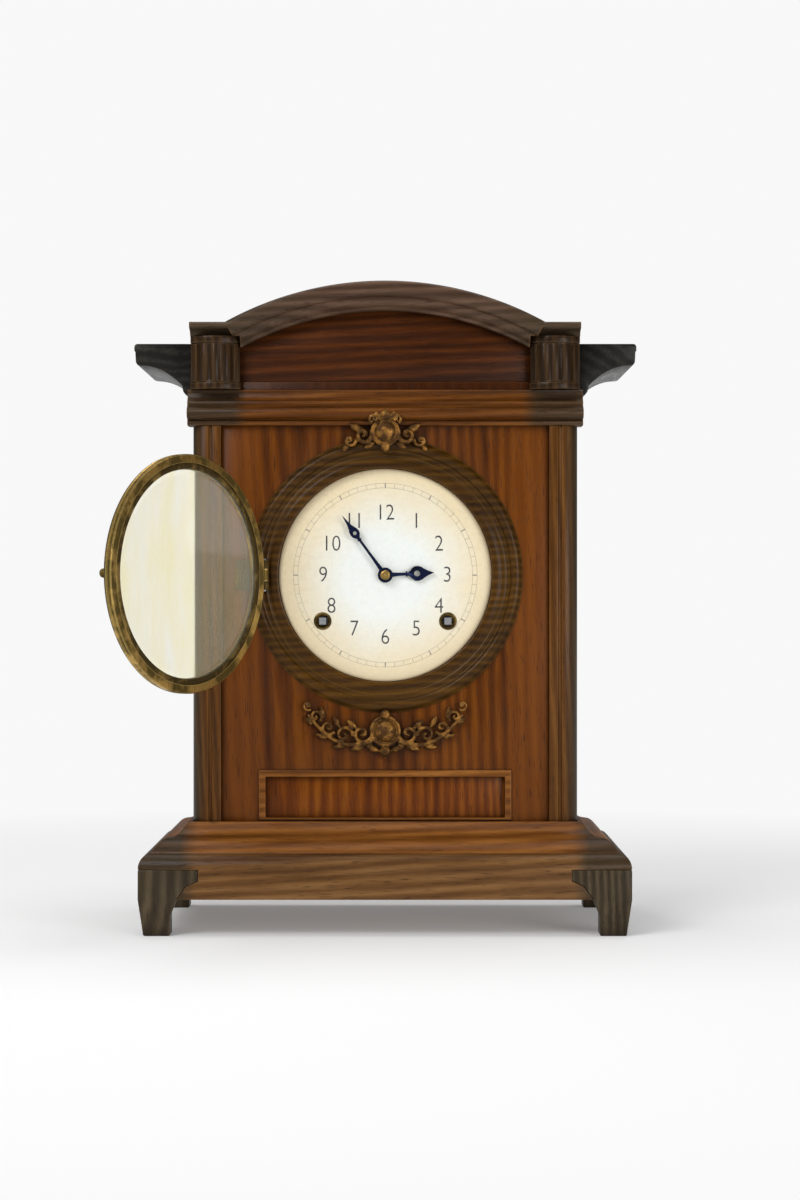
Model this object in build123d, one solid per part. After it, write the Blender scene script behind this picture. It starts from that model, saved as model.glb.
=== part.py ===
from build123d import *
import os
from math import asin, atan2, cos, pi, radians, sin, sqrt

# Mantel clock, in millimetres. +Z is up and the front looks towards -Y.
# The origin is on the shelf, at the centre of the rectangle that the four feet cover.

# case
front_y = -44.0
back_y = 80.0
body_half = 117.5
front_half = 100.0
board = 12.0
side_inner = 107.5
base_half = 147.5
base_front_y = -80.0
base_wall = 12.0
base_inner = base_half - base_wall
apron_low = 22.0
apron_top = 49.0
foot_top = 40.0
foot_thick = 14.0
molding_top = 66.0
front_board_top = 334.0
cornice_low = 307.0
cornice_top = 329.0
cornice_half = 120.5
shoulder_top = 369.0
roof_peak = 394.0
roof_thick = 8.0
arch_half = 97.0
arch_band = 17.0
block_inner = 88.0
block_outer = 118.5
crown_top = 358.4
crown_tip = 154.5

# dial, bezel and hands
dial_z = 216.0
dial_r = 65.0
recess_r = 65.4
dial_y = front_y + 3.0
board_hole_r = 55.0
ring_outer_r = 84.0
bezel_outer_r = 70.0
bezel_inner_r = 61.0
bezel_back_y = front_y - 1.5
hinge_x = -73.5
hinge_y = front_y - 4.5
bezel_open = 125.0
minute_angle = 324.0
hour_angle = 87.0

# movement, with the arbor positions as x, z
plate_front_y = front_y + 24.0
plate_back_y = front_y + 64.4
plate_thick = 1.6
pivot_clear = 0.05
arbor_r = 1.5
pivot_r = 1.0
centre = (0.0, dial_z)
great_teeth, great_module = 72, 0.9
second_leaves = 12
second_teeth, second_module = 40, 0.8
centre_leaves = 20
centre_teeth, centre_module = 80, 0.5
third_leaves = 8
third_teeth, third_module = 80, 0.4
escape_leaves = 8
escape_teeth = 40
escape_r = 13.0
motion_module = 0.7
cannon_leaves = 10
minute_teeth = 30
minute_leaves = 8
hour_teeth = 32
great_arbor = (38.3, 187.9)
hammer_arbor = (-64.0, 222.0)
pillar_spots = [(-67.0, 159.0), (67.0, 159.0), (-42.0, 274.0), (42.0, 274.0)]
verge_z = 268.0
bob_z = 74.0
bob_r = 15.0
swing_y = front_y + 73.0

# gong and door
gong_y = front_y + 96.0
gong_z = 112.0
gong_r = 38.0
door_half = 60.0
door_low = 76.0
door_high = 300.0
door_gap = 0.3
door_thick = 8.0
pintle_r = 1.5
pintle_x = door_half - door_gap - door_thick / 2


def block(x0, x1, y0, y1, z0, z1):
    """A box between two corners."""
    return Pos((x0 + x1) / 2, (y0 + y1) / 2, (z0 + z1) / 2) * Box(x1 - x0, y1 - y0, z1 - z0)


def rod_y(x, z, r, y0, y1):
    """A round bar along Y."""
    spot = Plane(origin=(x, y0, z), x_dir=(1, 0, 0), z_dir=(0, 1, 0))
    return spot * Cylinder(r, y1 - y0, align=(Align.CENTER, Align.CENTER, Align.MIN))


def rod_z(x, y, r, z0, z1):
    """A round bar along Z."""
    return Pos(x, y, z0) * Cylinder(r, z1 - z0, align=(Align.CENTER, Align.CENTER, Align.MIN))


def slab_y(points, y0, y1):
    """A flat outline of x, z points, made thick along Y."""
    corners = [(x, y0, z) for x, z in points]
    return extrude(make_face(Polyline(*corners, close=True)), amount=y1 - y0, dir=(0, 1, 0))


def slab_x(points, x0, x1):
    """A flat outline of y, z points, made thick along X."""
    corners = [(x0, y, z) for y, z in points]
    return extrude(make_face(Polyline(*corners, close=True)), amount=x1 - x0, dir=(1, 0, 0))


def turned(points, x=0.0, z=dial_z):
    """A ring or disc turned about an axis along Y, from radius, y points."""
    corners = [(x + r, y, z) for r, y in points]
    face = make_face(Polyline(*corners, close=True))
    return revolve(face, axis=Axis((x, 0, z), (0, 1, 0)), revolution_arc=360)


def ring_y(x, z, outer, inner, y0, y1):
    """A flat washer along Y."""
    return rod_y(x, z, outer, y0, y1) - rod_y(x, z, inner, y0 - 1, y1 + 1)


def mesh_phase(spot_a, teeth_a, spot_b, teeth_b):
    """Angle that puts gear b in mesh with gear a, whose first tooth is at angle zero."""
    way = atan2(spot_b[1] - spot_a[1], spot_b[0] - spot_a[0])
    return way + pi - 2 * pi / teeth_b * (0.5 - way * teeth_a / (2 * pi))


def gear(spot, teeth, module, y0, y1, phase=0.0):
    """A spur gear with short straight-sided teeth and backlash."""
    pitch_r = teeth * module / 2
    tip_r = pitch_r + 0.75 * module
    root_r = pitch_r - 1.2 * module
    half = pi / teeth
    points = []
    for tooth in range(teeth):
        middle = phase + 2 * half * tooth
        for r, part in ((root_r, -0.52), (tip_r, -0.22), (tip_r, 0.22), (root_r, 0.52)):
            angle = middle + part * half
            points.append((spot[0] + r * cos(angle), spot[1] + r * sin(angle)))
    return slab_y(points, y0, y1)


def saw_wheel(spot, teeth, tip_r, root_r, y0, y1):
    """A wheel with pointed, one-sided teeth."""
    points = []
    for tooth in range(teeth):
        start = 2 * pi * tooth / teeth
        for r, part in ((root_r, 0.0), (tip_r, 0.12), (tip_r, 0.2)):
            angle = start + part * 2 * pi / teeth
            points.append((spot[0] + r * cos(angle), spot[1] + r * sin(angle)))
    return slab_y(points, y0, y1)


def crossed_out(spot, rim_r, hub_r, y0, y1):
    """The four windows that lighten a clock wheel."""
    windows = ring_y(spot[0], spot[1], rim_r, hub_r, y0, y1)
    arm = 0.12 * rim_r
    windows -= block(spot[0] - arm, spot[0] + arm, y0, y1, spot[1] - rim_r, spot[1] + rim_r)
    windows -= block(spot[0] - rim_r, spot[0] + rim_r, y0, y1, spot[1] - arm, spot[1] + arm)
    return windows


def arbor(spot, r=arbor_r, back=plate_back_y + plate_thick):
    """A steel arbor with thinner pivots where it runs in the plates."""
    middle = rod_y(spot[0], spot[1], r, plate_front_y + plate_thick + 0.2, plate_back_y - 0.2)
    return middle + rod_y(spot[0], spot[1], pivot_r, plate_front_y, back)


def spiral(spot, r0, r1, turns, thick, end_angle, y0, y1):
    """A flat coil of strip, whose outer end is at end_angle."""
    count = int(turns * 20)
    sides = []
    for offset in (-thick / 2, thick / 2):
        side = []
        for step in range(count + 1):
            part = step / count
            r = r0 + (r1 - r0) * part + offset
            angle = end_angle - 2 * pi * turns * (1 - part)
            side.append((spot[0] + r * cos(angle), y0, spot[1] + r * sin(angle)))
        sides.append(side)
    inner = Spline(*sides[0])
    outer = Spline(*sides[1])
    ends = [Line(sides[0][0], sides[1][0]), Line(sides[0][-1], sides[1][-1])]
    return extrude(make_face([inner, outer] + ends), amount=y1 - y0, dir=(0, 1, 0))


# arbor positions that follow from the gear sizes
second_arbor = (23.1, 222.5)
third_distance = centre_module * (centre_teeth + third_leaves) / 2
third_arbor = (-11.0, dial_z + sqrt(third_distance ** 2 - 11.0 ** 2))
escape_distance = third_module * (third_teeth + escape_leaves) / 2
escape_arbor = (0.0, third_arbor[1] + sqrt(escape_distance ** 2 - 11.0 ** 2))
motion_distance = motion_module * (cannon_leaves + minute_teeth) / 2
motion_spot = (-motion_distance / sqrt(2), dial_z - motion_distance / sqrt(2))


def make_case_boards():
    """The plain boards of the case."""
    boards = {}
    under_roof = shoulder_top - roof_thick
    boards["bottom_board"] = block(-base_inner, base_inner, -68, back_y, apron_top - 8, apron_top)
    for name, middle in (("left_side_board", -112.5), ("right_side_board", 112.5)):
        boards[name] = block(middle - 5, middle + 5, front_y + board, back_y, apron_top, under_roof)
    front = block(-front_half, front_half, front_y, front_y + board, apron_top, front_board_top)
    front -= rod_y(0, dial_z, board_hole_r, front_y - 1, front_y + board + 1)
    front -= rod_y(0, dial_z, recess_r, front_y - 1, front_y + 4)
    front -= block(-73, 73, front_y - 1, front_y + 5, 68, 93)
    boards["front_board"] = front
    boards["lower_panel"] = block(-73, 73, front_y + 2.5, front_y + 5, 68, 93)
    back = block(-side_inner, side_inner, back_y - door_thick, back_y, apron_top, under_roof)
    back += make_pediment(back_y - door_thick, back_y)
    boards["back_board"] = back - block(-door_half, door_half, 0, back_y + 1, door_low, door_high)
    boards["pediment_board"] = make_pediment(front_y + 2, front_y + board)
    return boards


def make_pediment(y0, y1):
    """The board under the arch, from the front board's top to the roof."""
    low = shoulder_top - roof_thick
    half = arch_half - 3
    lines = [
        Line((-front_half, y0, front_board_top), (front_half, y0, front_board_top)),
        Line((front_half, y0, front_board_top), (front_half, y0, low)),
        Line((front_half, y0, low), (half, y0, low)),
        ThreePointArc((half, y0, low), (0, y0, roof_peak - roof_thick), (-half, y0, low)),
        Line((-half, y0, low), (-front_half, y0, low)),
        Line((-front_half, y0, low), (-front_half, y0, front_board_top)),
    ]
    return extrude(make_face(lines), amount=y1 - y0, dir=(0, 1, 0))


def make_roof():
    """The bent roof board, with flat shoulders at both sides."""
    outer = body_half + 1.5
    low = shoulder_top - roof_thick
    inner_half = arch_half - 3
    y0 = front_y
    lines = [
        Line((-outer, y0, low), (-outer, y0, shoulder_top)),
        Line((-outer, y0, shoulder_top), (-arch_half, y0, shoulder_top)),
        ThreePointArc((-arch_half, y0, shoulder_top), (0, y0, roof_peak), (arch_half, y0, shoulder_top)),
        Line((arch_half, y0, shoulder_top), (outer, y0, shoulder_top)),
        Line((outer, y0, shoulder_top), (outer, y0, low)),
        Line((outer, y0, low), (inner_half, y0, low)),
        ThreePointArc((inner_half, y0, low), (0, y0, roof_peak - roof_thick), (-inner_half, y0, low)),
        Line((-inner_half, y0, low), (-outer, y0, low)),
    ]
    return extrude(make_face(lines), amount=back_y - y0, dir=(0, 1, 0))


def make_arch_molding():
    """The thick edge of the arch, in two steps, with level ends over the corner blocks."""
    rise = roof_peak - shoulder_top
    outer_r = (arch_half ** 2 + rise ** 2) / (2 * rise)
    middle_z = roof_peak - outer_r
    band = ring_y(0, middle_z, outer_r, outer_r - 10, front_y - 16, front_y)
    band += ring_y(0, middle_z, outer_r - 9.5, outer_r - arch_band, front_y - 12, front_y)
    band &= block(-arch_half, arch_half, front_y - 20, front_y + 5, cornice_top, roof_peak + 5)
    low = shoulder_top - roof_thick
    for side in (-1, 1):
        inner = side * block_inner
        outer = side * block_outer
        far = side * (block_outer + 5)
        band -= block(min(inner, far), max(inner, far), front_y - 20, front_y + 5, cornice_top, low)
        band += block(min(inner, outer), max(inner, outer), front_y - 16, front_y, low, shoulder_top)
    return band


def make_corner_blocks():
    """The two bowed blocks at the ends of the arch."""
    blocks = []
    for side in (-1, 1):
        a = side * block_inner
        b = side * block_outer
        lines = [
            Line((a, front_y, cornice_top), (a, front_y - 5, cornice_top)),
            ThreePointArc((a, front_y - 5, cornice_top), ((a + b) / 2, front_y - 12, cornice_top),
                          (b, front_y - 5, cornice_top)),
            Line((b, front_y - 5, cornice_top), (b, front_y, cornice_top)),
            Line((b, front_y, cornice_top), (a, front_y, cornice_top)),
        ]
        solid = extrude(make_face(lines), amount=shoulder_top - roof_thick - cornice_top, dir=(0, 0, 1))
        inner = side * front_half
        solid += block(min(inner, b), max(inner, b), front_y, front_y + board,
                       cornice_top, shoulder_top - roof_thick)
        blocks.append(solid)
    return blocks


def make_cornice():
    """The moulded rail above the dial, with ends over the pilasters."""
    f = front_y
    lines = [
        Line((-cornice_half, f, cornice_low), (-cornice_half, f - 5, cornice_low)),
        Line((-cornice_half, f - 5, cornice_low), (-cornice_half, f - 5, cornice_low + 3)),
        ThreePointArc((-cornice_half, f - 5, cornice_low + 3), (-cornice_half, f - 9.5, cornice_low + 8),
                      (-cornice_half, f - 5.5, cornice_low + 13)),
        Line((-cornice_half, f - 5.5, cornice_low + 13), (-cornice_half, f - 4, cornice_top)),
        Line((-cornice_half, f - 4, cornice_top), (-cornice_half, f, cornice_top)),
        Line((-cornice_half, f, cornice_top), (-cornice_half, f, cornice_low)),
    ]
    rail = extrude(make_face(lines), amount=2 * cornice_half, dir=(1, 0, 0))
    for side in (-1, 1):
        inner = side * front_half
        outer = side * cornice_half
        rail += block(min(inner, outer), max(inner, outer), f, f + board, cornice_low, cornice_top)
    return rail


def make_crown(side):
    """The dark flared moulding along one side, under the roof."""
    y0 = front_y + board
    a = (side * body_half, y0, crown_top)
    b = (side * crown_tip, y0, crown_top)
    c = (side * (crown_tip - 1), y0, crown_top - 13)
    d = (side * 122, y0, crown_top - 31.6)
    e = (side * body_half, y0, crown_top - 31.6)
    cove = ThreePointArc(c, (side * 129.5, y0, crown_top - 20.5), d)
    lines = [Line(a, b), Line(b, c), cove, Line(d, e), Line(e, a)]
    return extrude(make_face(lines), amount=back_y - y0, dir=(0, 1, 0))


def make_pilaster(side):
    """A round-cornered post at one front corner of the case."""
    inner = side * front_half
    outer = side * body_half
    post = block(min(inner, outer), max(inner, outer), front_y - 3.5, front_y + board, apron_top, cornice_low)
    corner = post.edges().filter_by(Axis.Z).group_by(Axis.Y)[0].sort_by(Axis.X)[0 if side < 0 else -1]
    post = fillet(corner, 9)
    return post - rod_z(side * (front_half + 6.5), front_y - 3.5, 1.2, apron_top - 1, cornice_low + 1)


def ogee(low, high, near, far):
    """Points of the base's flowing edge, from its foot out to its neck in."""
    points = [(far, low)]
    for step in range(1, 13):
        part = step / 12
        wave = part + 0.14 * sin(2 * pi * part)
        points.append((far + (near - far) * part, low + (high - low) * wave))
    return points


def make_base_molding():
    """The ogee frame between the base and the body."""
    side = ogee(apron_top, molding_top, 120.0, base_half - 7)
    front = ogee(apron_top, molding_top, front_y - 6.0, base_front_y + 7)
    outline = side + [(-x, z) for x, z in reversed(side)]
    frame = slab_y(outline, base_front_y, back_y)
    frame &= slab_x(front + [(back_y, molding_top), (back_y, apron_top)], -base_half, base_half)
    frame -= block(-body_half, body_half, front_y - 3.5, back_y + 1, apron_top - 1, molding_top + 1)
    return frame


def make_foot(side_x, side_y):
    """A bracket foot at one corner, with a wing each way."""
    x = side_x * base_half
    y = side_y * abs(base_front_y)

    def profile(start, sign):
        far = start - sign * 36
        knee = start - sign * 19
        return [(start - sign * 3, 0), (start, apron_low), (start, foot_top), (far, foot_top), (far, 33),
                (far + sign * 7, 30), (far + sign * 13, 22), (knee, 12), (knee, 0)]

    long_y = sorted((y, y - side_y * foot_thick))
    long_x = sorted((x, x - side_x * foot_thick))
    front_wing = slab_y(profile(x, side_x), long_y[0], long_y[1])
    side_wing = slab_x(profile(y, side_y), long_x[0], long_x[1])
    near = sorted((x, x - side_x * 19))
    deep = sorted((y, y - side_y * 19))
    post = block(near[0], near[1], deep[0], deep[1], 0, foot_top)
    post &= slab_y(profile(x, side_x), deep[0], deep[1])
    post &= slab_x(profile(y, side_y), near[0], near[1])
    wings = (front_wing & slab_x(profile_cap(y, side_y), -base_half, base_half))
    wings += (side_wing & slab_y(profile_cap(x, side_x), base_front_y, back_y))
    return post + wings


def profile_cap(start, sign):
    """The leaning outer side of a foot, seen from the other wing."""
    far = start - sign * 40
    return [(start - sign * 3, 0), (start, apron_low), (start, foot_top), (far, foot_top), (far, 0)]


def make_apron(feet):
    """The frame of the base, notched for the feet."""
    side = [(base_half, apron_low), (base_half, foot_top)]
    front = [(base_front_y, apron_low), (base_front_y, foot_top)]
    for step in range(1, 7):
        turn = radians(15 * step)
        side.append((base_half - 7 * (1 - cos(turn)), foot_top + 9 * sin(turn)))
        front.append((base_front_y + 7 * (1 - cos(turn)), foot_top + 9 * sin(turn)))
    outline = side + [(-x, z) for x, z in reversed(side)]
    frame = slab_y(outline, base_front_y, back_y)
    frame &= slab_x(front + [(back_y, apron_top), (back_y, apron_low)], -base_half, base_half)
    frame -= block(-base_inner, base_inner, base_front_y + base_wall, back_y - base_wall, 0, apron_top - 8)
    frame -= block(-base_inner, base_inner, -68, back_y + 1, apron_top - 8, apron_top + 1)
    for foot in feet:
        frame -= foot
    return frame


def make_panel_molding():
    """The thin raised frame round the lower panel."""
    frame = block(-77, 77, front_y - 1.6, front_y, 66.5, 97)
    return frame - block(-73, 73, front_y - 3, front_y + 1, 68, 93)


def make_dial_ring():
    """The dark moulded ring round the dial."""
    f = front_y
    return turned([(recess_r, f), (recess_r, f - 1.2), (70.5, f - 1.2), (72, f - 0.8), (75.5, f - 0.6),
                   (77.5, f - 1.6), (79.5, f - 2.7), (81.5, f - 3), (83.2, f - 2.2), (ring_outer_r, f)])


def make_dial():
    """The dial disc with its centre hole and two winding holes."""
    disc = turned([(0, dial_y), (dial_r, dial_y), (dial_r, dial_y + 1), (0, dial_y + 1)])
    disc -= rod_y(0, dial_z, 4, dial_y - 1, dial_y + 2)
    for side in (-1, 1):
        disc -= rod_y(side * great_arbor[0], great_arbor[1], 4.8, dial_y - 1, dial_y + 2)
    return disc


def make_grommets():
    """The lined winding holes."""
    grommets = []
    for side in (-1, 1):
        x = side * great_arbor[0]
        z = great_arbor[1]
        grommets.append(turned([(4.1, dial_y - 0.6), (5.4, dial_y - 0.6), (5.4, dial_y), (4.8, dial_y),
                                (4.8, dial_y + 1), (4.1, dial_y + 1)], x, z))
    return grommets


def scroll(x, z, r, y0, y1):
    """One open curl of a cast ornament."""
    curl = ring_y(x, z, r, 0.52 * r, y0, y1)
    return curl + rod_y(x, z, 0.24 * r, y0, y1) + block(x, x + 0.8 * r, y0, y1, z - 0.14 * r, z + 0.14 * r)


def make_crest(cornice, ring):
    """The cast ornament over the dial."""
    y0 = front_y - 12
    y1 = front_y
    cast = rod_y(0, 303, 8.5, y0, y1) + rod_y(0, 312, 6, y0 + 0.5, y1) + rod_y(0, 294, 4.5, y0 + 1.5, y1)
    for side in (-1, 1):
        for x, z, r in ((9.5, 302, 6.5), (17, 299, 6), (23.2, 297, 4.2), (8, 310, 4.5)):
            cast += scroll(side * x, z, r, y0 + 2.5, y1)
        cast += rod_y(side * 13.5, 300.5, 3, y0 + 2, y1)
        cast += rod_y(side * 20.5, 298, 2.4, y0 + 2, y1)
    return cast - cornice - ring


def make_swag(ring):
    """The cast ornament under the dial."""
    y0 = front_y - 7
    y1 = front_y
    cast = rod_y(0, 121, 9.5, y0 - 0.8, y1) + rod_y(0, 109.5, 5.5, y0, y1) + rod_y(0, 131, 4.5, y0, y1)
    for side in (-1, 1):
        for x, z, r in ((11, 121, 7.5), (22, 118, 7), (32.5, 121.5, 6.2), (41.5, 128, 5.5),
                        (46.5, 136.5, 4.6)):
            cast += scroll(side * x, z, r, y0 + 1.5, y1)
        for x, z, r in ((16.5, 120, 3.4), (27.3, 119.5, 3.1), (37.2, 125, 2.8), (44.5, 132.5, 2.5),
                        (9, 111.5, 4.5)):
            cast += rod_y(side * x, z, r, y0 + 1, y1)
    return cast - ring


def open_bezel(solid):
    """Swing a piece from shut to the open rest pose."""
    return Pos(hinge_x, hinge_y, 0) * Rot(0, 0, -bezel_open) * Pos(-hinge_x, -hinge_y, 0) * solid


def make_bezel_ring():
    """The round metal door frame, with its middle hinge knuckle."""
    b = bezel_back_y
    ring = turned([(65, b), (bezel_outer_r, b), (bezel_outer_r, b - 4), (69, b - 6), (67, b - 7),
                   (64.5, b - 6.6), (62.8, b - 5.4), (bezel_inner_r, b - 4.6), (bezel_inner_r, b - 2.7),
                   (65, b - 2.7)])
    ring += block(hinge_x, -bezel_outer_r + 2, hinge_y - 2, hinge_y + 1, dial_z - 3.7, dial_z + 3.7)
    ring += rod_z(hinge_x, hinge_y, 2.5, dial_z - 3.7, dial_z + 3.7)
    ring -= rod_z(hinge_x, hinge_y, 1 + pivot_clear, dial_z - 10, dial_z + 10)
    knob = turned([(0, b - 5), (1.6, b - 5), (1.6, b - 8), (2.6, b - 9), (2.6, b - 10), (1.4, b - 11),
                   (0, b - 11)], 65.5, dial_z)
    return ring + knob


def make_glass():
    """The domed glass, with a flat rim that sits in the frame."""
    b = bezel_back_y
    f = b - 2.7
    thick = 1.8
    dome_r = (bezel_inner_r ** 2 + 4.0 ** 2) / 8.0
    dome_y = f - 4 + dome_r
    half = asin(bezel_inner_r / dome_r)

    def on_dome(r, part):
        return (r * sin(part * half), dome_y - r * cos(part * half), dial_z)

    inner_r = dome_r - thick
    rim = on_dome(dome_r, 1)
    under = on_dome(inner_r, 1)
    lines = [
        Line((0, f - 4, dial_z), (0, f - 4 + thick, dial_z)),
        ThreePointArc((0, f - 4 + thick, dial_z), on_dome(inner_r, 0.5), under),
        Line(under, (64.8, under[1], dial_z)),
        Line((64.8, under[1], dial_z), (64.8, f, dial_z)),
        Line((64.8, f, dial_z), rim),
        ThreePointArc(rim, on_dome(dome_r, 0.5), (0, f - 4, dial_z)),
    ]
    return revolve(make_face(lines), axis=Axis((0, 0, dial_z), (0, 1, 0)), revolution_arc=360)


def make_hinge_leaf():
    """The fixed half of the bezel hinge, let into the ring round the dial."""
    leaf = block(-92, -74.5, front_y - 1.4, front_y, dial_z - 9, dial_z + 9)
    for low in (dial_z - 9, dial_z + 4):
        leaf += block(hinge_x - 2.5, hinge_x, hinge_y, front_y, low, low + 5)
        leaf += rod_z(hinge_x, hinge_y, 2.5, low, low + 5)
    return leaf - rod_z(hinge_x, hinge_y, 1, dial_z - 12, dial_z + 12)


def hand_place(angle):
    """Turns a hand that points up to a clock angle."""
    return Pos(0, 0, dial_z) * Rot(0, angle, 0) * Pos(0, 0, -dial_z)


def make_hour_hand():
    """The short spade hand."""
    y0 = dial_y - 2.5
    y1 = y0 + 0.8
    points = [(-1.6, 3), (-1.1, 12), (-4.2, 17), (-4.6, 20.5), (-2.6, 24), (0, 30),
              (2.6, 24), (4.6, 20.5), (4.2, 17), (1.1, 12), (1.6, 3)]
    hand = slab_y([(x, dial_z + z) for x, z in points], y0, y1) + rod_y(0, dial_z, 4.6, y0, y1)
    hand -= rod_y(0, dial_z + 19.5, 1.8, y0 - 1, y1 + 1)
    hand -= rod_y(0, dial_z, 3, y0 - 1, y1 + 1)
    return hand_place(hour_angle) * hand


def make_minute_hand():
    """The long spade hand."""
    y0 = dial_y - 4.3
    y1 = y0 + 0.7
    points = [(-1.4, 2), (-0.8, 26), (-2.9, 30), (-2.9, 33), (-1.2, 37), (0, 45),
              (1.2, 37), (2.9, 33), (2.9, 30), (0.8, 26), (1.4, 2)]
    hand = slab_y([(x, dial_z + z) for x, z in points], y0, y1) + rod_y(0, dial_z, 3.6, y0, y1)
    hand -= rod_y(0, dial_z, 2, y0 - 1, y1 + 1)
    return hand_place(minute_angle) * hand


def make_plate(y0):
    """One brass plate, with a hole for each pivot."""
    outline = [(-74, 152), (74, 152), (74, 232), (48, 283), (-48, 283), (-74, 232)]
    plate = slab_y(outline, y0, y0 + plate_thick)
    for spot in (second_arbor, third_arbor, escape_arbor, (0, verge_z), hammer_arbor):
        plate -= rod_y(spot[0], spot[1], pivot_r + pivot_clear, y0 - 1, y0 + 3)
    return plate


def make_front_plate():
    """The front plate, with the stud that carries the minute wheel."""
    plate = make_plate(plate_front_y)
    plate -= rod_y(0, dial_z, 1.2 + pivot_clear, plate_front_y - 1, plate_front_y + 3)
    for x in (-great_arbor[0], great_arbor[0]):
        plate -= rod_y(x, great_arbor[1], 3 + pivot_clear, plate_front_y - 1, plate_front_y + 3)
    return plate + rod_y(motion_spot[0], motion_spot[1], 1.2, front_y + 15.4, plate_front_y + 1)


def make_back_plate():
    """The back plate, with the cock that the pendulum hangs from."""
    plate = make_plate(plate_back_y)
    plate -= rod_y(0, dial_z, pivot_r + pivot_clear, plate_back_y - 1, plate_back_y + 3)
    for x in (-great_arbor[0], great_arbor[0]):
        plate -= rod_y(x, great_arbor[1], 2 + pivot_clear, plate_back_y - 1, plate_back_y + 3)
    face = plate_back_y + plate_thick
    plate += block(-4, 4, face - 0.5, swing_y + 4, verge_z + 8, verge_z + 14)
    plate += block(-4, 4, swing_y + 2.5, swing_y + 4, verge_z - 3, verge_z + 14)
    return plate + rod_y(0, verge_z, 1.2, swing_y - 1.4, swing_y + 3)


def make_great_wheel(side, hole):
    """A large wheel that turns loosely on its winding arbor."""
    spot = (side * great_arbor[0], great_arbor[1])
    y0 = front_y + 60
    wheel = gear(spot, great_teeth, great_module, y0, y0 + 2)
    wheel -= crossed_out(spot, 27, 14, y0 - 1, y0 + 3)
    return wheel - rod_y(spot[0], spot[1], hole, y0 - 1, y0 + 3)


def make_winding_arbor(side):
    """A winding arbor with its ratchet and the square for the key."""
    x = side * great_arbor[0]
    z = great_arbor[1]
    steel = rod_y(x, z, 3, front_y + 20, plate_back_y - 0.1)
    steel += rod_y(x, z, 2, plate_back_y - 0.2, plate_back_y + plate_thick)
    steel += block(x - 2.1, x + 2.1, dial_y - 0.4, front_y + 21, z - 2.1, z + 2.1)
    return steel + saw_wheel((x, z), 24, 12, 10.4, front_y + 58, front_y + 59.6)


def make_mainsprings():
    """Two coiled strips, each hooked to a lower pillar."""
    springs = []
    for side, spot in ((-1, pillar_spots[0]), (1, pillar_spots[1])):
        x = side * great_arbor[0]
        way = atan2(spot[1] - great_arbor[1], spot[0] - x)
        reach = sqrt((spot[0] - x) ** 2 + (spot[1] - great_arbor[1]) ** 2) - 3.5
        strip = spiral((x, great_arbor[1]), 3.7, reach - 0.25, 6, 0.6, way, front_y + 43, front_y + 56)
        springs.append(strip - rod_y(spot[0], spot[1], 3.5, plate_front_y, plate_back_y))
    return springs


def make_second_wheel():
    phase = mesh_phase(great_arbor, great_teeth, second_arbor, second_leaves)
    wheel = gear(second_arbor, second_teeth, second_module, front_y + 36, front_y + 37.4)
    wheel -= crossed_out(second_arbor, 13, 4, front_y + 35, front_y + 38)
    pinion = gear(second_arbor, second_leaves, great_module, front_y + 58, front_y + 63, phase)
    return wheel + pinion + arbor(second_arbor)


def make_centre_wheel():
    phase = mesh_phase(second_arbor, second_teeth, centre, centre_leaves)
    wheel = gear(centre, centre_teeth, centre_module, front_y + 31, front_y + 32.2)
    wheel -= crossed_out(centre, 17.5, 5, front_y + 30, front_y + 33)
    pinion = gear(centre, centre_leaves, second_module, front_y + 34.2, front_y + 40, phase)
    steel = rod_y(0, dial_z, arbor_r, plate_front_y + plate_thick + 0.2, plate_back_y - 0.2)
    steel += rod_y(0, dial_z, pivot_r, plate_back_y - 1, plate_back_y + plate_thick)
    steel += rod_y(0, dial_z, 1.2, dial_y - 5.9, plate_front_y + plate_thick + 1)
    return wheel + pinion + steel


def make_third_wheel():
    phase = mesh_phase(centre, centre_teeth, third_arbor, third_leaves)
    wheel = gear(third_arbor, third_teeth, third_module, front_y + 41.5, front_y + 42.5)
    wheel -= crossed_out(third_arbor, 13.5, 3.5, front_y + 41, front_y + 43)
    pinion = gear(third_arbor, third_leaves, centre_module, front_y + 29, front_y + 34.5, phase)
    return wheel + pinion + arbor(third_arbor)


def make_escape_wheel():
    phase = mesh_phase(third_arbor, third_teeth, escape_arbor, escape_leaves)
    wheel = saw_wheel(escape_arbor, escape_teeth, escape_r, 11.2, front_y + 50, front_y + 51.2)
    wheel -= crossed_out(escape_arbor, 9.6, 3, front_y + 49, front_y + 52)
    pinion = gear(escape_arbor, escape_leaves, third_module, front_y + 40, front_y + 44.5, phase)
    return wheel + pinion + arbor(escape_arbor, r=1.1)


def make_verge():
    """The anchor, its arbor and the crutch that drives the pendulum."""
    y0 = front_y + 49.5
    band = ring_y(0, escape_arbor[1], 17, 14.3, y0, y0 + 2.2)
    band &= block(-13, 13, y0, y0 + 2.2, escape_arbor[1] + 8, escape_arbor[1] + 20)
    anchor = band + rod_y(0, verge_z, 3.6, y0, y0 + 2.2)
    steel = arbor((0, verge_z), back=swing_y - 3.4)
    crutch = block(-1.2, 1.2, swing_y - 4.6, swing_y - 3.4, verge_z - 45, verge_z)
    crutch += rod_y(0, verge_z, 2.6, swing_y - 4.6, swing_y - 3.4)
    return anchor + steel + crutch + rod_y(0, verge_z - 45, 0.9, swing_y - 4.6, swing_y + 1.6)


def make_cannon_pinion():
    pinion = gear(centre, cannon_leaves, motion_module, front_y + 19.6, front_y + 22.8)
    pinion += rod_y(0, dial_z, 2, dial_y - 4.3, front_y + 20)
    return pinion - rod_y(0, dial_z, 1.2, dial_y - 6, plate_front_y)


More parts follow.
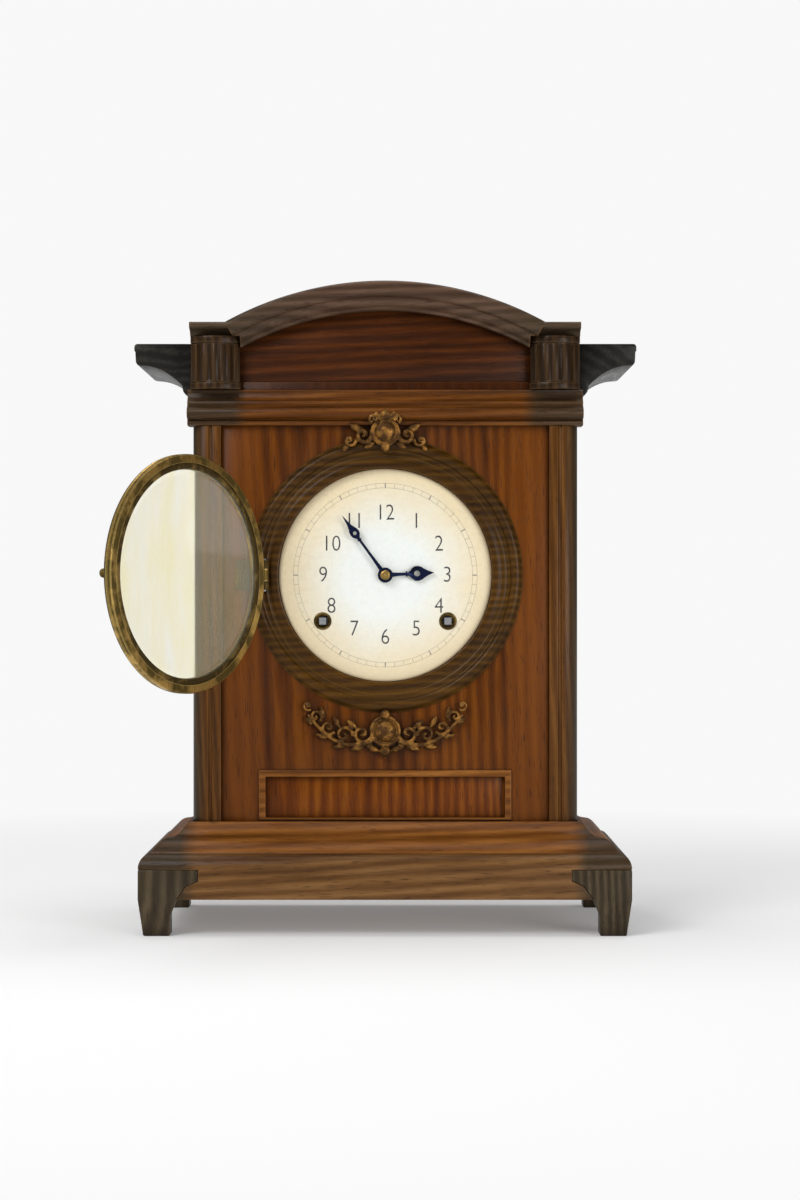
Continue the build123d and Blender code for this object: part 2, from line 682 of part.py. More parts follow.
def make_minute_wheel():
    phase = mesh_phase(centre, cannon_leaves, motion_spot, minute_teeth)
    wheel = gear(motion_spot, minute_teeth, motion_module, front_y + 20.6, front_y + 21.8, phase)
    pinion = gear(motion_spot, minute_leaves, motion_module, front_y + 16, front_y + 20.8)
    hole = rod_y(motion_spot[0], motion_spot[1], 1.2 + pivot_clear, front_y + 14, front_y + 24)
    return wheel + pinion - hole


def make_hour_wheel():
    phase = mesh_phase(motion_spot, minute_leaves, centre, hour_teeth)
    wheel = gear(centre, hour_teeth, motion_module, front_y + 16.8, front_y + 18, phase)
    wheel += rod_y(0, dial_z, 3, dial_y - 2.5, front_y + 17)
    return wheel - rod_y(0, dial_z, 2 + pivot_clear, dial_y - 4, front_y + 20)


def make_pendulum_rod():
    y0 = swing_y - 1
    y1 = swing_y + 1
    rod = block(-1.5, 1.5, y0, y1, 55, verge_z) + rod_y(0, verge_z, 3.6, y0, y1)
    rod += rod_y(0, verge_z - 45, 3, y0, y1)
    rod -= rod_y(0, verge_z - 45, 1.3, y0 - 1, y1 + 1)
    return rod - rod_y(0, verge_z, 1.2 + pivot_clear, y0 - 1, y1 + 1)


def make_bob():
    """A lens-shaped weight on the pendulum rod."""
    s = swing_y
    bob = turned([(0, s - 5), (6, s - 4.6), (11, s - 3.2), (bob_r, s - 0.8), (bob_r, s + 0.8), (11, s + 3.2),
                  (6, s + 4.6), (0, s + 5)], 0, bob_z)
    return bob - block(-1.5, 1.5, s - 1, s + 1, bob_z - bob_r - 1, bob_z + bob_r + 1)


def make_rating_nut():
    nut = rod_z(0, swing_y, 3.2, bob_z - bob_r - 2.6, bob_z - bob_r + 0.05)
    return nut - block(-1.5, 1.5, swing_y - 1, swing_y + 1, bob_z - bob_r - 4, bob_z - bob_r + 1)


def make_hammer():
    """The gong hammer on its long arbor."""
    x, z = hammer_arbor
    steel = arbor(hammer_arbor, back=gong_y + 1)
    arm = slab_y([(x - 1.6, z), (-51.6, 124), (-48.4, 124), (x + 1.6, z)], gong_y - 1, gong_y + 1)
    arm += rod_y(x, z, 3.4, gong_y - 1, gong_y + 1)
    spot = Plane(origin=(-56, gong_y, 120), x_dir=(0, 1, 0), z_dir=(1, 0, 0))
    head = spot * Cylinder(4.6, 13, align=(Align.CENTER, Align.CENTER, Align.MIN))
    return steel + arm + head


def make_gong_coil():
    """The flat coil that the hammer strikes, fixed at its inner end."""
    coil = spiral((0, gong_z), 6.1, gong_r, 5, 2.4, 0.9, gong_y - 1.2, gong_y + 1.2)
    return coil - rod_y(0, gong_z, 5, gong_y - 2, gong_y + 6)


def make_gong_stand():
    """The iron bracket that carries the gong."""
    stand = block(-20, 20, gong_y - 4, gong_y + 14, apron_top, apron_top + 4)
    stand += block(-6, 6, gong_y + 4, gong_y + 12, apron_top + 3, gong_z + 7)
    return stand + rod_y(0, gong_z, 5, gong_y - 2, gong_y + 6)


def make_back_door():
    """The flat door in the back, rounded where it turns."""
    y0 = back_y - door_thick
    low = door_low + door_gap
    high = door_high - door_gap
    door = block(-door_half + door_gap, pintle_x, y0, back_y, low, high)
    door += rod_z(pintle_x, y0 + door_thick / 2, door_thick / 2, low, high)
    return door - rod_z(pintle_x, y0 + door_thick / 2, pintle_r + pivot_clear, low - 1, high + 1)


def make_door_pins():
    """The two plain pins the back door turns on."""
    y = back_y - door_thick / 2
    return [rod_z(pintle_x, y, pintle_r, low, low + 24) for low in (door_low - 10, door_high - 14)]


def make_button():
    """A small turn button with its screw head."""
    x = -door_half - 7
    z = (door_low + door_high) / 2
    bar = block(x - 3.5, x + 3.5, back_y, back_y + 2, z - 10, z + 6)
    return bar + rod_y(x, z, 5, back_y, back_y + 2.4) + rod_y(x, z, 2.4, back_y + 2, back_y + 3.4)


def build():
    """Every piece of the clock, by name."""
    pieces = make_case_boards()
    pieces["roof_board"] = make_roof()
    pieces["arch_molding"] = make_arch_molding()
    pieces["cornice_molding"] = make_cornice()
    pieces["corner_blocks"] = make_corner_blocks()
    pieces["left_crown_molding"] = make_crown(-1)
    pieces["right_crown_molding"] = make_crown(1)
    pieces["left_pilaster"] = make_pilaster(-1)
    pieces["right_pilaster"] = make_pilaster(1)
    pieces["base_molding"] = make_base_molding()
    feet = [make_foot(x, y) for y in (-1, 1) for x in (-1, 1)]
    pieces["base_apron"] = make_apron(feet)
    pieces["front_left_foot"] = feet[0]
    pieces["front_right_foot"] = feet[1]
    pieces["rear_feet"] = feet[2:]
    pieces["panel_molding"] = make_panel_molding()
    leaf = make_hinge_leaf()
    ring = make_dial_ring() - leaf
    pieces["dial_ring"] = ring
    pieces["dial_disc"] = make_dial()
    pieces["winding_grommets"] = make_grommets()
    pieces["crest_ornament"] = make_crest(pieces["cornice_molding"], ring)
    pieces["swag_ornament"] = make_swag(ring)
    pieces["bezel_hinge_leaf"] = leaf
    pieces["bezel_hinge_pin"] = rod_z(hinge_x, hinge_y, 1, dial_z - 10, dial_z + 10)
    pieces["bezel_ring"] = open_bezel(make_bezel_ring())
    pieces["bezel_glass"] = open_bezel(make_glass())
    b = bezel_back_y
    pieces["glass_retainer"] = open_bezel(ring_y(0, dial_z, 65, 61.5, b - 0.9, b - 0.1))
    pieces["hour_hand"] = make_hour_hand()
    pieces["minute_hand"] = make_minute_hand()
    pieces["hand_nut"] = ring_y(0, dial_z, 3, 1.2, dial_y - 5.9, dial_y - 4.3)
    pieces["front_plate"] = make_front_plate()
    pieces["back_plate"] = make_back_plate()
    inside_y = plate_front_y + plate_thick
    pieces["plate_pillars"] = [rod_y(x, z, 3.5, inside_y, plate_back_y) for x, z in pillar_spots]
    pieces["movement_posts"] = [rod_y(x, z, 4, front_y + board, plate_front_y) for x, z in pillar_spots]
    pieces["time_great_wheel"] = make_great_wheel(1, 3 + pivot_clear)
    pieces["strike_great_wheel"] = make_great_wheel(-1, 3 + pivot_clear)
    pieces["mainsprings"] = make_mainsprings()
    pieces["time_winding_arbor"] = make_winding_arbor(1)
    pieces["strike_winding_arbor"] = make_winding_arbor(-1)
    pieces["second_wheel"] = make_second_wheel()
    pieces["centre_wheel"] = make_centre_wheel()
    pieces["third_wheel"] = make_third_wheel()
    pieces["escape_wheel"] = make_escape_wheel()
    pieces["verge"] = make_verge()
    pieces["cannon_pinion"] = make_cannon_pinion()
    pieces["minute_wheel"] = make_minute_wheel()
    pieces["hour_wheel"] = make_hour_wheel()
    pieces["pendulum_rod"] = make_pendulum_rod()
    pieces["pendulum_bob"] = make_bob()
    pieces["rating_nut"] = make_rating_nut()
    pieces["hammer"] = make_hammer()
    pieces["gong_coil"] = make_gong_coil()
    pieces["gong_stand"] = make_gong_stand()
    pieces["back_door"] = make_back_door()
    pins = make_door_pins()
    for pin in pins:
        pieces["back_board"] -= pin
    pieces["door_hinge_pins"] = pins
    pieces["door_button"] = make_button()
    return pieces


os.makedirs("parts", exist_ok=True)
for name, piece in build().items():
    solid = Compound(children=piece) if isinstance(piece, list) else piece
    export_step(solid, f"parts/{name}.step")
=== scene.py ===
import bpy
from math import cos, pi, radians, sin, sqrt
from mathutils import Matrix, Vector


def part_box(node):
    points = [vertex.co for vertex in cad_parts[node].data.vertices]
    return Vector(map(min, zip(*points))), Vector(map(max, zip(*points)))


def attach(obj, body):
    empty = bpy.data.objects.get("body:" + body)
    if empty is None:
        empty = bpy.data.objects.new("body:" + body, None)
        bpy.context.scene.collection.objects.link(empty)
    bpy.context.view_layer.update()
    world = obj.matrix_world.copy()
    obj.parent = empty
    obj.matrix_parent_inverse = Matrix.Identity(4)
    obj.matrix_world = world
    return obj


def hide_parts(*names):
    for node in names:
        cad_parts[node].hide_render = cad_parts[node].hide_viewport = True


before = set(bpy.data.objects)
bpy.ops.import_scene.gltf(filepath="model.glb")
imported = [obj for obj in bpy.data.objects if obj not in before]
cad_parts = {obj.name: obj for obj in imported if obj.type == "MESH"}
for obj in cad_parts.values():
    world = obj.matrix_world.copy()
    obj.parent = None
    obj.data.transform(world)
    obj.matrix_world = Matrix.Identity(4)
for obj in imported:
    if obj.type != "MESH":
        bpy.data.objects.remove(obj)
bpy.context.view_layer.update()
mm = 0.001

# places shared by several pieces, in millimetres
frontY = -44.0
dialY = -41.0
dialZ = 216.0
bezelBack = -45.5
hinge = {"x": -73.5, "y": -48.5, "openBy": 125.0}
windingHoles = [(-38.3, 187.9), (38.3, 187.9)]
boardBack = -32.0
sideBack = 80.0
bodyHalf = 117.5
postInner = 100.0
underCornice = 307.0
corniceTop = 329.0
blockTop = 361.0


def chooseNone():
    bpy.ops.object.select_all(action="DESELECT")


def chooseOnly(piece):
    if bpy.context.mode != "OBJECT":
        bpy.ops.object.mode_set(mode="OBJECT")
    chooseNone()
    piece.select_set(True)
    bpy.context.view_layer.objects.active = piece


def settle():
    bpy.ops.object.transform_apply(location=True, rotation=True, scale=True)


def takeNew(name):
    # the object just added, named and settled
    piece = bpy.context.active_object
    piece.name = name
    settle()
    return piece


def editWhole(piece):
    chooseOnly(piece)
    bpy.context.tool_settings.mesh_select_mode = (True, False, False)
    bpy.ops.object.mode_set(mode="EDIT")
    bpy.ops.mesh.select_all(action="SELECT")


def pickPoints(piece, test):
    # in edit mode, only the points whose place passes the test
    editWhole(piece)
    bpy.ops.mesh.select_all(action="DESELECT")
    bpy.ops.object.mode_set(mode="OBJECT")
    for point in piece.data.vertices:
        point.select = test(point.co)
    bpy.ops.object.mode_set(mode="EDIT")


def mergeAndTurnOut(piece, gap=0.004):
    # doubles merged, then every face turned outwards
    editWhole(piece)
    bpy.ops.mesh.remove_doubles(threshold=gap * mm)
    bpy.ops.mesh.normals_make_consistent(inside=False)
    bpy.ops.object.mode_set(mode="OBJECT")
    return piece


def drawOutline(name, corners):
    # a small plane merged to one point, then pulled from corner to corner and closed
    spots = [Vector(corner) * mm for corner in corners]
    chooseNone()
    bpy.ops.mesh.primitive_plane_add(size=mm, location=spots[0])
    piece = takeNew(name)
    editWhole(piece)
    bpy.ops.mesh.merge(type="CENTER")
    for start, end in zip(spots, spots[1:] + spots[:1]):
        bpy.ops.mesh.extrude_region_move(TRANSFORM_OT_translate={"value": end - start})
    bpy.ops.mesh.select_all(action="SELECT")
    bpy.ops.mesh.remove_doubles(threshold=0.001 * mm)
    return piece


def runProfile(name, corners, run):
    # a closed outline filled and pulled along a line
    piece = drawOutline(name, corners)
    bpy.ops.mesh.select_all(action="SELECT")
    bpy.ops.mesh.edge_face_add()
    bpy.ops.mesh.extrude_region_move(TRANSFORM_OT_translate={"value": Vector(run) * mm})
    return mergeAndTurnOut(piece)


def turnProfile(name, section, x=0.0, z=dialZ, steps=128):
    # radius and y of each corner, turned once round an axis along Y
    piece = drawOutline(name, [(x + r, y, z) for r, y in section])
    bpy.ops.mesh.select_all(action="SELECT")
    bpy.ops.mesh.spin(steps=steps, angle=2 * pi, center=(x * mm, 0, z * mm), axis=(0, 1, 0))
    return mergeAndTurnOut(piece)


def roundEdges(piece, width, segments=2, sharper=30):
    chooseOnly(piece)
    rounding = piece.modifiers.new("roundedEdges", "BEVEL")
    rounding.width = width * mm
    rounding.segments = segments
    rounding.limit_method = "ANGLE"
    rounding.angle_limit = radians(sharper)
    bpy.ops.object.modifier_apply(modifier=rounding.name)
    return piece


def smoothBelow(piece, angle=35):
    chooseOnly(piece)
    bpy.ops.object.shade_smooth_by_angle(angle=radians(angle))
    return piece


def boxBlank(name, low, high):
    middle = [(a + b) / 2 * mm for a, b in zip(low, high)]
    chooseNone()
    bpy.ops.mesh.primitive_cube_add(size=1, location=middle, scale=[(b - a) * mm for a, b in zip(low, high)])
    return takeNew(name)


def rodBlank(name, middle, radius, length, along="Y", sides=48):
    turns = {"X": (0, pi / 2, 0), "Y": (pi / 2, 0, 0), "Z": (0, 0, 0)}
    chooseNone()
    bpy.ops.mesh.primitive_cylinder_add(vertices=sides, radius=radius * mm, depth=length * mm,
                                        location=Vector(middle) * mm, rotation=turns[along])
    return takeNew(name)


def carve(piece, blank, how="DIFFERENCE"):
    chooseOnly(piece)
    step = piece.modifiers.new("carve", "BOOLEAN")
    step.operation = how
    step.solver = "EXACT"
    step.object = blank
    bpy.ops.object.modifier_apply(modifier=step.name)
    bpy.data.objects.remove(blank)
    return piece


def joinPieces(first, *others):
    chooseOnly(first)
    for other in others:
        other.select_set(True)
    bpy.ops.object.join()
    return first


def softCopy(node, name, width=0.6, segments=2, sharper=30, flat=1.0):
    # the board as cut, with its arrises eased
    piece = bpy.data.objects.new(name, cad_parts[node].data.copy())
    bpy.context.scene.collection.objects.link(piece)
    piece.data.materials.clear()
    editWhole(piece)
    bpy.ops.mesh.remove_doubles(threshold=0.004 * mm)
    bpy.ops.mesh.dissolve_limited(angle_limit=radians(flat))
    bpy.ops.object.mode_set(mode="OBJECT")
    roundEdges(piece, width, segments, sharper)
    return smoothBelow(piece)


def finishPiece(piece, body, slot, finish, *nodes):
    finishes = finish if isinstance(finish, list) else [finish]
    piece.data.materials.clear()
    for one in finishes:
        piece.data.materials.append(one)
    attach(piece, body)
    if nodes:
        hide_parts(*nodes)
    return piece


def secondFinishWhere(piece, test):
    # faces whose normal passes the test take the piece's second finish
    for face in piece.data.polygons:
        if test(face.normal, face.center):
            face.material_index = 1


def swingOpen(piece):
    # from shut to its open place, about the hinge pin
    turn = Matrix.Rotation(radians(-hinge["openBy"]), 3, "Z")
    pin = Vector((hinge["x"], hinge["y"], 0)) * mm
    chooseOnly(piece)
    piece.rotation_euler = (0, 0, radians(-hinge["openBy"]))
    piece.location = pin - turn @ pin
    settle()
    return piece


def arcCorners(middle, radius, start, end, count):
    # corners on an arc, angles in degrees
    corners = []
    for step in range(count + 1):
        angle = radians(start + (end - start) * step / count)
        corners.append((middle[0] + radius * cos(angle), middle[1] + radius * sin(angle)))
    return corners


def tint(red, green, blue):
    # a paint card's colour, 0 to 255, as Blender's linear colour
    channels = []
    for part in (red, green, blue):
        part = part / 255
        channels.append(part / 12.92 if part <= 0.04045 else ((part + 0.055) / 1.055) ** 2.4)
    return (channels[0], channels[1], channels[2], 1.0)


def addNode(tree, kind, sockets=None, **settings):
    node = tree.nodes.new("ShaderNode" + kind)
    for key, value in settings.items():
        setattr(node, key, value)
    for key, value in (sockets or {}).items():
        if isinstance(value, bpy.types.NodeSocket):
            tree.links.new(value, node.inputs[key])
        else:
            node.inputs[key].default_value = value
    return node


def blendColours(tree, amount, first, second, way="MIX"):
    node = addNode(tree, "Mix", {0: amount, 6: first, 7: second}, data_type="RGBA", blend_type=way)
    return node.outputs[2]


def sums(tree, operation, first, second=0.0, clamp=False):
    node = addNode(tree, "Math", {0: first, 1: second}, operation=operation)
    node.use_clamp = clamp
    return node.outputs[0]


def rescale(tree, value, low, high, toLow=0.0, toHigh=1.0):
    sockets = {"Value": value, "From Min": low, "From Max": high, "To Min": toLow, "To Max": toHigh}
    return addNode(tree, "MapRange", sockets).outputs[0]


def colourRamp(tree, value, stops):
    node = addNode(tree, "ValToRGB", {0: value})
    ramp = node.color_ramp
    ramp.elements[0].position, ramp.elements[0].color = stops[0]
    ramp.elements[1].position, ramp.elements[1].color = stops[-1]
    for place, colour in stops[1:-1]:
        ramp.elements.new(place).color = colour
    return node.outputs[0]


def noiseOn(tree, coords, scale, detail=3.0, rough=0.55):
    sockets = {"Vector": coords, "Scale": scale, "Detail": detail, "Roughness": rough}
    return addNode(tree, "TexNoise", sockets).outputs[0]


def startFinish(name):
    finish = bpy.data.materials.new(name)
    finish.use_nodes = True
    tree = finish.node_tree
    tree.nodes.clear()
    shader = addNode(tree, "BsdfPrincipled")
    addNode(tree, "OutputMaterial", {"Surface": shader.outputs[0]})
    coords = addNode(tree, "TexCoord").outputs["Object"]
    return finish, tree, shader, coords


def edgeWear(tree, radius):
    # 1 on worn edges, 0 on flat ground
    soft = addNode(tree, "Bevel", {"Radius": radius * mm}, samples=4).outputs[0]
    hard = addNode(tree, "NewGeometry").outputs["Normal"]
    same = addNode(tree, "VectorMath", {0: soft, 1: hard}, operation="DOT_PRODUCT").outputs["Value"]
    return rescale(tree, same, 0.995, 0.86)


def recessGrime(tree, reach):
    # 1 in tight corners, 0 in the open: dirt and tarnish in hollows, and painted shade where light is shut
    #                                    out
    clear = addNode(tree, "AmbientOcclusion", {"Distance": reach * mm}, samples=6).outputs["AO"]
    return rescale(tree, clear, 0.85, 0.25)


# the figure of all the wood, and its polish
figuring = {"tilt": 2.5, "wander": 14.0, "rings": 0.16, "fibre": 0.26, "streaks": 0.34, "patches": 0.34}
polish = {"gloss": 0.30, "coat": 0.05, "coatRough": 0.14, "poreDepth": 0.00016, "shine": 0.09}


def woodFinish(name, look):
    # look: dark, middle, light colours; grain axis; seed; ringGap, sapEdges, darkAbove, darkEnds in mm
    finish, tree, shader, coords = startFinish(name)
    axis = "XYZ".index(look["grain"])
    seed = look["seed"]
    tilt = [radians(figuring["tilt"])] * 3
    tilt[axis] = 0.0
    shift = [0.013 * seed, 0.045 + 0.007 * seed, 0.021 * seed]
    shift[axis] = 0.11 * seed
    placed = addNode(tree, "Mapping", {"Vector": coords, "Location": shift, "Rotation": tilt}).outputs[0]
    long = [1.0, 1.0, 1.0]
    long[axis] = 0.10
    drawn = addNode(tree, "Mapping", {"Vector": placed, "Scale": long}).outputs[0]
    fine = [1.0, 1.0, 1.0]
    fine[axis] = 0.035
    hairs = addNode(tree, "Mapping", {"Vector": placed, "Scale": fine}).outputs[0]
    rings = addNode(tree, "TexWave", {"Vector": drawn, "Scale": 2 * pi / (20 * look["ringGap"] * mm),
                                      "Distortion": figuring["wander"], "Detail": 4.0,
                                      "Detail Scale": 0.22, "Detail Roughness": 0.6},
                    wave_type="RINGS", rings_direction=look["grain"], wave_profile="SIN").outputs["Fac"]
    fibre = noiseOn(tree, hairs, 620.0, 5.0, 0.65)
    patches = noiseOn(tree, drawn, 24.0, 3.0, 0.5)
    streaks = noiseOn(tree, drawn, 130.0, 6.0, 0.62)
    pores = rescale(tree, noiseOn(tree, hairs, 1500.0, 2.0, 0.5), 0.60, 0.70)
    figure = sums(tree, "MULTIPLY", rings, figuring["rings"])
    figure = sums(tree, "ADD", figure, sums(tree, "MULTIPLY", fibre, figuring["fibre"]))
    figure = sums(tree, "ADD", figure, sums(tree, "MULTIPLY", streaks, figuring["streaks"]))
    figure = sums(tree, "ADD", figure, sums(tree, "MULTIPLY", patches, figuring["patches"]), clamp=True)
    colour = colourRamp(tree, figure, [(0.34, look["dark"]), (0.55, look["middle"]), (0.76, look["light"])])
    if "sapEdges" in look:
        # the paler wood left at both edges of the board
        apart = addNode(tree, "SeparateXYZ", {0: coords}).outputs[0]
        across = sums(tree, "ABSOLUTE", apart)
        wobble = sums(tree, "MULTIPLY", noiseOn(tree, drawn, 60.0, 2.0, 0.5), 0.006)
        across = sums(tree, "ADD", across, wobble)
        inner, outer = look["sapEdges"]
        amount = rescale(tree, across, (inner + 3) * mm, (outer + 3) * mm)
        paler = blendColours(tree, figure, look["sapDark"], look["sapLight"])
        colour = blendColours(tree, sums(tree, "MULTIPLY", amount, 0.85), colour, paler)
    if "darkAbove" in look:
        # painted shade: the strip between the cornice and the pediment is darkened, standing in for the
        # shadow under the pediment
        height = addNode(tree, "SeparateXYZ", {0: coords}).outputs[2]
        low, high, share = look["darkAbove"]
        amount = sums(tree, "MULTIPLY", rescale(tree, height, low * mm, high * mm), share)
        colour = blendColours(tree, amount, colour, look["dark"])
    if "darkEnds" in look:
        # darker towards both ends, over the given span and share
        apart = addNode(tree, "SeparateXYZ", {0: coords}).outputs[0]
        wobble = sums(tree, "MULTIPLY", sums(tree, "SUBTRACT", patches, 0.5), 0.004)
        across = sums(tree, "ADD", sums(tree, "ABSOLUTE", apart), wobble)
        start, end, share = look["darkEnds"]
        amount = sums(tree, "MULTIPLY", rescale(tree, across, start * mm, end * mm), share)
        stained = blendColours(tree, figure, look["endDark"], look["endLight"])
        colour = blendColours(tree, amount, colour, stained)
    colour = blendColours(tree, sums(tree, "MULTIPLY", pores, 0.55), colour, tint(26, 13, 6))
    worn = sums(tree, "MULTIPLY", edgeWear(tree, 1.3), noiseOn(tree, coords, 90.0, 3.0, 0.6))
    colour = blendColours(tree, sums(tree, "MULTIPLY", worn, look.get("wear", 0.55)), colour,
                          look.get("worn", tint(150, 104, 62)))
    # painted shade with dirt: recesses darkened towards near black, standing in for the shade there
    dirtAndShade = sums(tree, "MULTIPLY", recessGrime(tree, 9.0), 0.62)
    colour = blendColours(tree, dirtAndShade, colour, tint(20, 12, 8))
    roughness = rescale(tree, fibre, 0.3, 0.7, polish["gloss"] - 0.04, polish["gloss"] + 0.16)
    height = sums(tree, "SUBTRACT", sums(tree, "MULTIPLY", fibre, 0.35), pores)
    bump = addNode(tree, "Bump", {"Height": height, "Strength": 0.5, "Distance": polish["poreDepth"]})
    tree.links.new(colour, shader.inputs["Base Color"])
    tree.links.new(roughness, shader.inputs["Roughness"])
    tree.links.new(bump.outputs[0], shader.inputs["Normal"])
    shader.inputs["Specular IOR Level"].default_value = polish["shine"]
    shader.inputs["Coat Weight"].default_value = look.get("coat", polish["coat"])
    shader.inputs["Coat Roughness"].default_value = polish["coatRough"]
    return finish


def metalFinish(name, look):
    # look: colour, tarnish colour, tarnished share, rough, brush axis, wear
    finish, tree, shader, coords = startFinish(name)
    brush = [1.0, 1.0, 1.0]
    brush["XYZ".index(look.get("brush", "X"))] = 0.05
    lines = addNode(tree, "Mapping", {"Vector": coords, "Scale": brush}).outputs[0]
    scratches = noiseOn(tree, lines, 1800.0, 3.0, 0.6)
    clouds = noiseOn(tree, coords, look.get("cloud", 70.0), 4.0, 0.6)
    share = look["tarnished"]
    dull = rescale(tree, clouds, 0.72 - 0.5 * share, 0.86 - 0.5 * share)
    # tarnish gathered in the hollows, which also paints the shade that falls there
    dirtAndShade = recessGrime(tree, look.get("reach", 3.0))
    dull = sums(tree, "MAXIMUM", dull, dirtAndShade, clamp=True)
    scored = rescale(tree, scratches, 0.35, 0.75, 0.0, 0.35)
    bright = blendColours(tree, scored, look["colour"], look["tarnish"])
    colour = blendColours(tree, sums(tree, "MULTIPLY", dull, 0.85), bright, look["tarnish"])
    shiny = sums(tree, "MULTIPLY", edgeWear(tree, look.get("edge", 0.4)), look.get("wear", 0.5))
    colour = blendColours(tree, shiny, colour, look.get("worn", look["colour"]))
    brushed = rescale(tree, scratches, 0.3, 0.7, look["rough"] - 0.05, look["rough"] + 0.12)
    roughness = sums(tree, "ADD", brushed, sums(tree, "MULTIPLY", dull, 0.22), clamp=True)
    bump = addNode(tree, "Bump", {"Height": scratches, "Strength": 0.35, "Distance": 0.00004}).outputs[0]
    tree.links.new(colour, shader.inputs["Base Color"])
    tree.links.new(roughness, shader.inputs["Roughness"])
    tree.links.new(bump, shader.inputs["Normal"])
    shader.inputs["Metallic"].default_value = look.get("metal", 1.0)
    return finish


def dialFinish(name, look):
    # white in the middle, going cream towards the rim, with faint age marks
    finish, tree, shader, coords = startFinish(name)
    centred = {"Vector": coords, "Location": (0, 0, -dialZ * mm), "Scale": (1, 0, 1)}
    flat = addNode(tree, "Mapping", centred).outputs[0]
    radius = addNode(tree, "VectorMath", {0: flat}, operation="LENGTH").outputs["Value"]
    uneven = sums(tree, "MULTIPLY", noiseOn(tree, coords, 40.0, 3.0, 0.6), 0.018)
    rim = rescale(tree, sums(tree, "ADD", radius, uneven), 0.034, 0.068)
    colour = blendColours(tree, rim, look["middle"], look["rim"])
    stain = rescale(tree, noiseOn(tree, coords, 120.0, 6.0, 0.7), 0.58, 0.80, 0.0, 0.22)
    colour = blendColours(tree, stain, colour, look["age"])
    specks = rescale(tree, noiseOn(tree, coords, 1400.0, 2.0, 0.5), 0.74, 0.80, 0.0, 0.35)
    colour = blendColours(tree, specks, colour, look["speck"])
    # the age colour gathers near the ring and under the hands: partly dirt, partly painted shade
    dirtAndShade = sums(tree, "MULTIPLY", recessGrime(tree, 4.0), 0.30)
    colour = blendColours(tree, dirtAndShade, colour, look["age"])
    ripple = noiseOn(tree, coords, 260.0, 2.0, 0.5)
    bump = addNode(tree, "Bump", {"Height": ripple, "Strength": 0.12, "Distance": 0.0002}).outputs[0]
    tree.links.new(colour, shader.inputs["Base Color"])
    tree.links.new(rescale(tree, ripple, 0.3, 0.7, 0.22, 0.34), shader.inputs["Roughness"])
    tree.links.new(bump, shader.inputs["Normal"])
    return finish


def inkFinish(name, colour, faded):
    # fired numerals, a little worn through
    finish, tree, shader, coords = startFinish(name)
    wornThrough = rescale(tree, noiseOn(tree, coords, 900.0, 4.0, 0.7), 0.45, 0.75, 0.0, 0.7)
    tree.links.new(blendColours(tree, wornThrough, colour, faded), shader.inputs["Base Color"])
    tree.links.new(rescale(tree, wornThrough, 0.0, 1.0, 0.25, 0.5), shader.inputs["Roughness"])
    return finish


def glassFinish(name, look):
    # old glass: clear, with a thin cream haze of dust in wiped streaks
    finish, tree, shader, coords = startFinish(name)
    streaks = addNode(tree, "Mapping", {"Vector": coords, "Scale": (1.0, 1.0, 0.25)}).outputs[0]
    film = noiseOn(tree, streaks, 55.0, 5.0, 0.6)
    colour = blendColours(tree, rescale(tree, film, 0.3, 0.7), look["clear"], look["film"])
    tree.links.new(colour, shader.inputs["Base Color"])
    tree.links.new(rescale(tree, film, 0.3, 0.75, 0.02, 0.10), shader.inputs["Roughness"])
    waves = noiseOn(tree, coords, 30.0, 1.0, 0.5)
    bump = addNode(tree, "Bump", {"Height": waves, "Strength": 0.10, "Distance": 0.0004})
    tree.links.new(bump.outputs[0], shader.inputs["Normal"])
    shader.inputs["Transmission Weight"].default_value = look["through"]
    shader.inputs["IOR"].default_value = 1.47
    return finish


def timber(grain, seed, ringGap, dark, middle, light, **more):
    return {"grain": grain, "seed": seed, "ringGap": ringGap, "dark": tint(*dark), "middle": tint(*middle),
            "light": tint(*light), **more}


def plating(colour, tarnish, tarnished, rough, **more):
    return {"colour": tint(*colour), "tarnish": tint(*tarnish), "tarnished": tarnished, "rough": rough,
            **more}


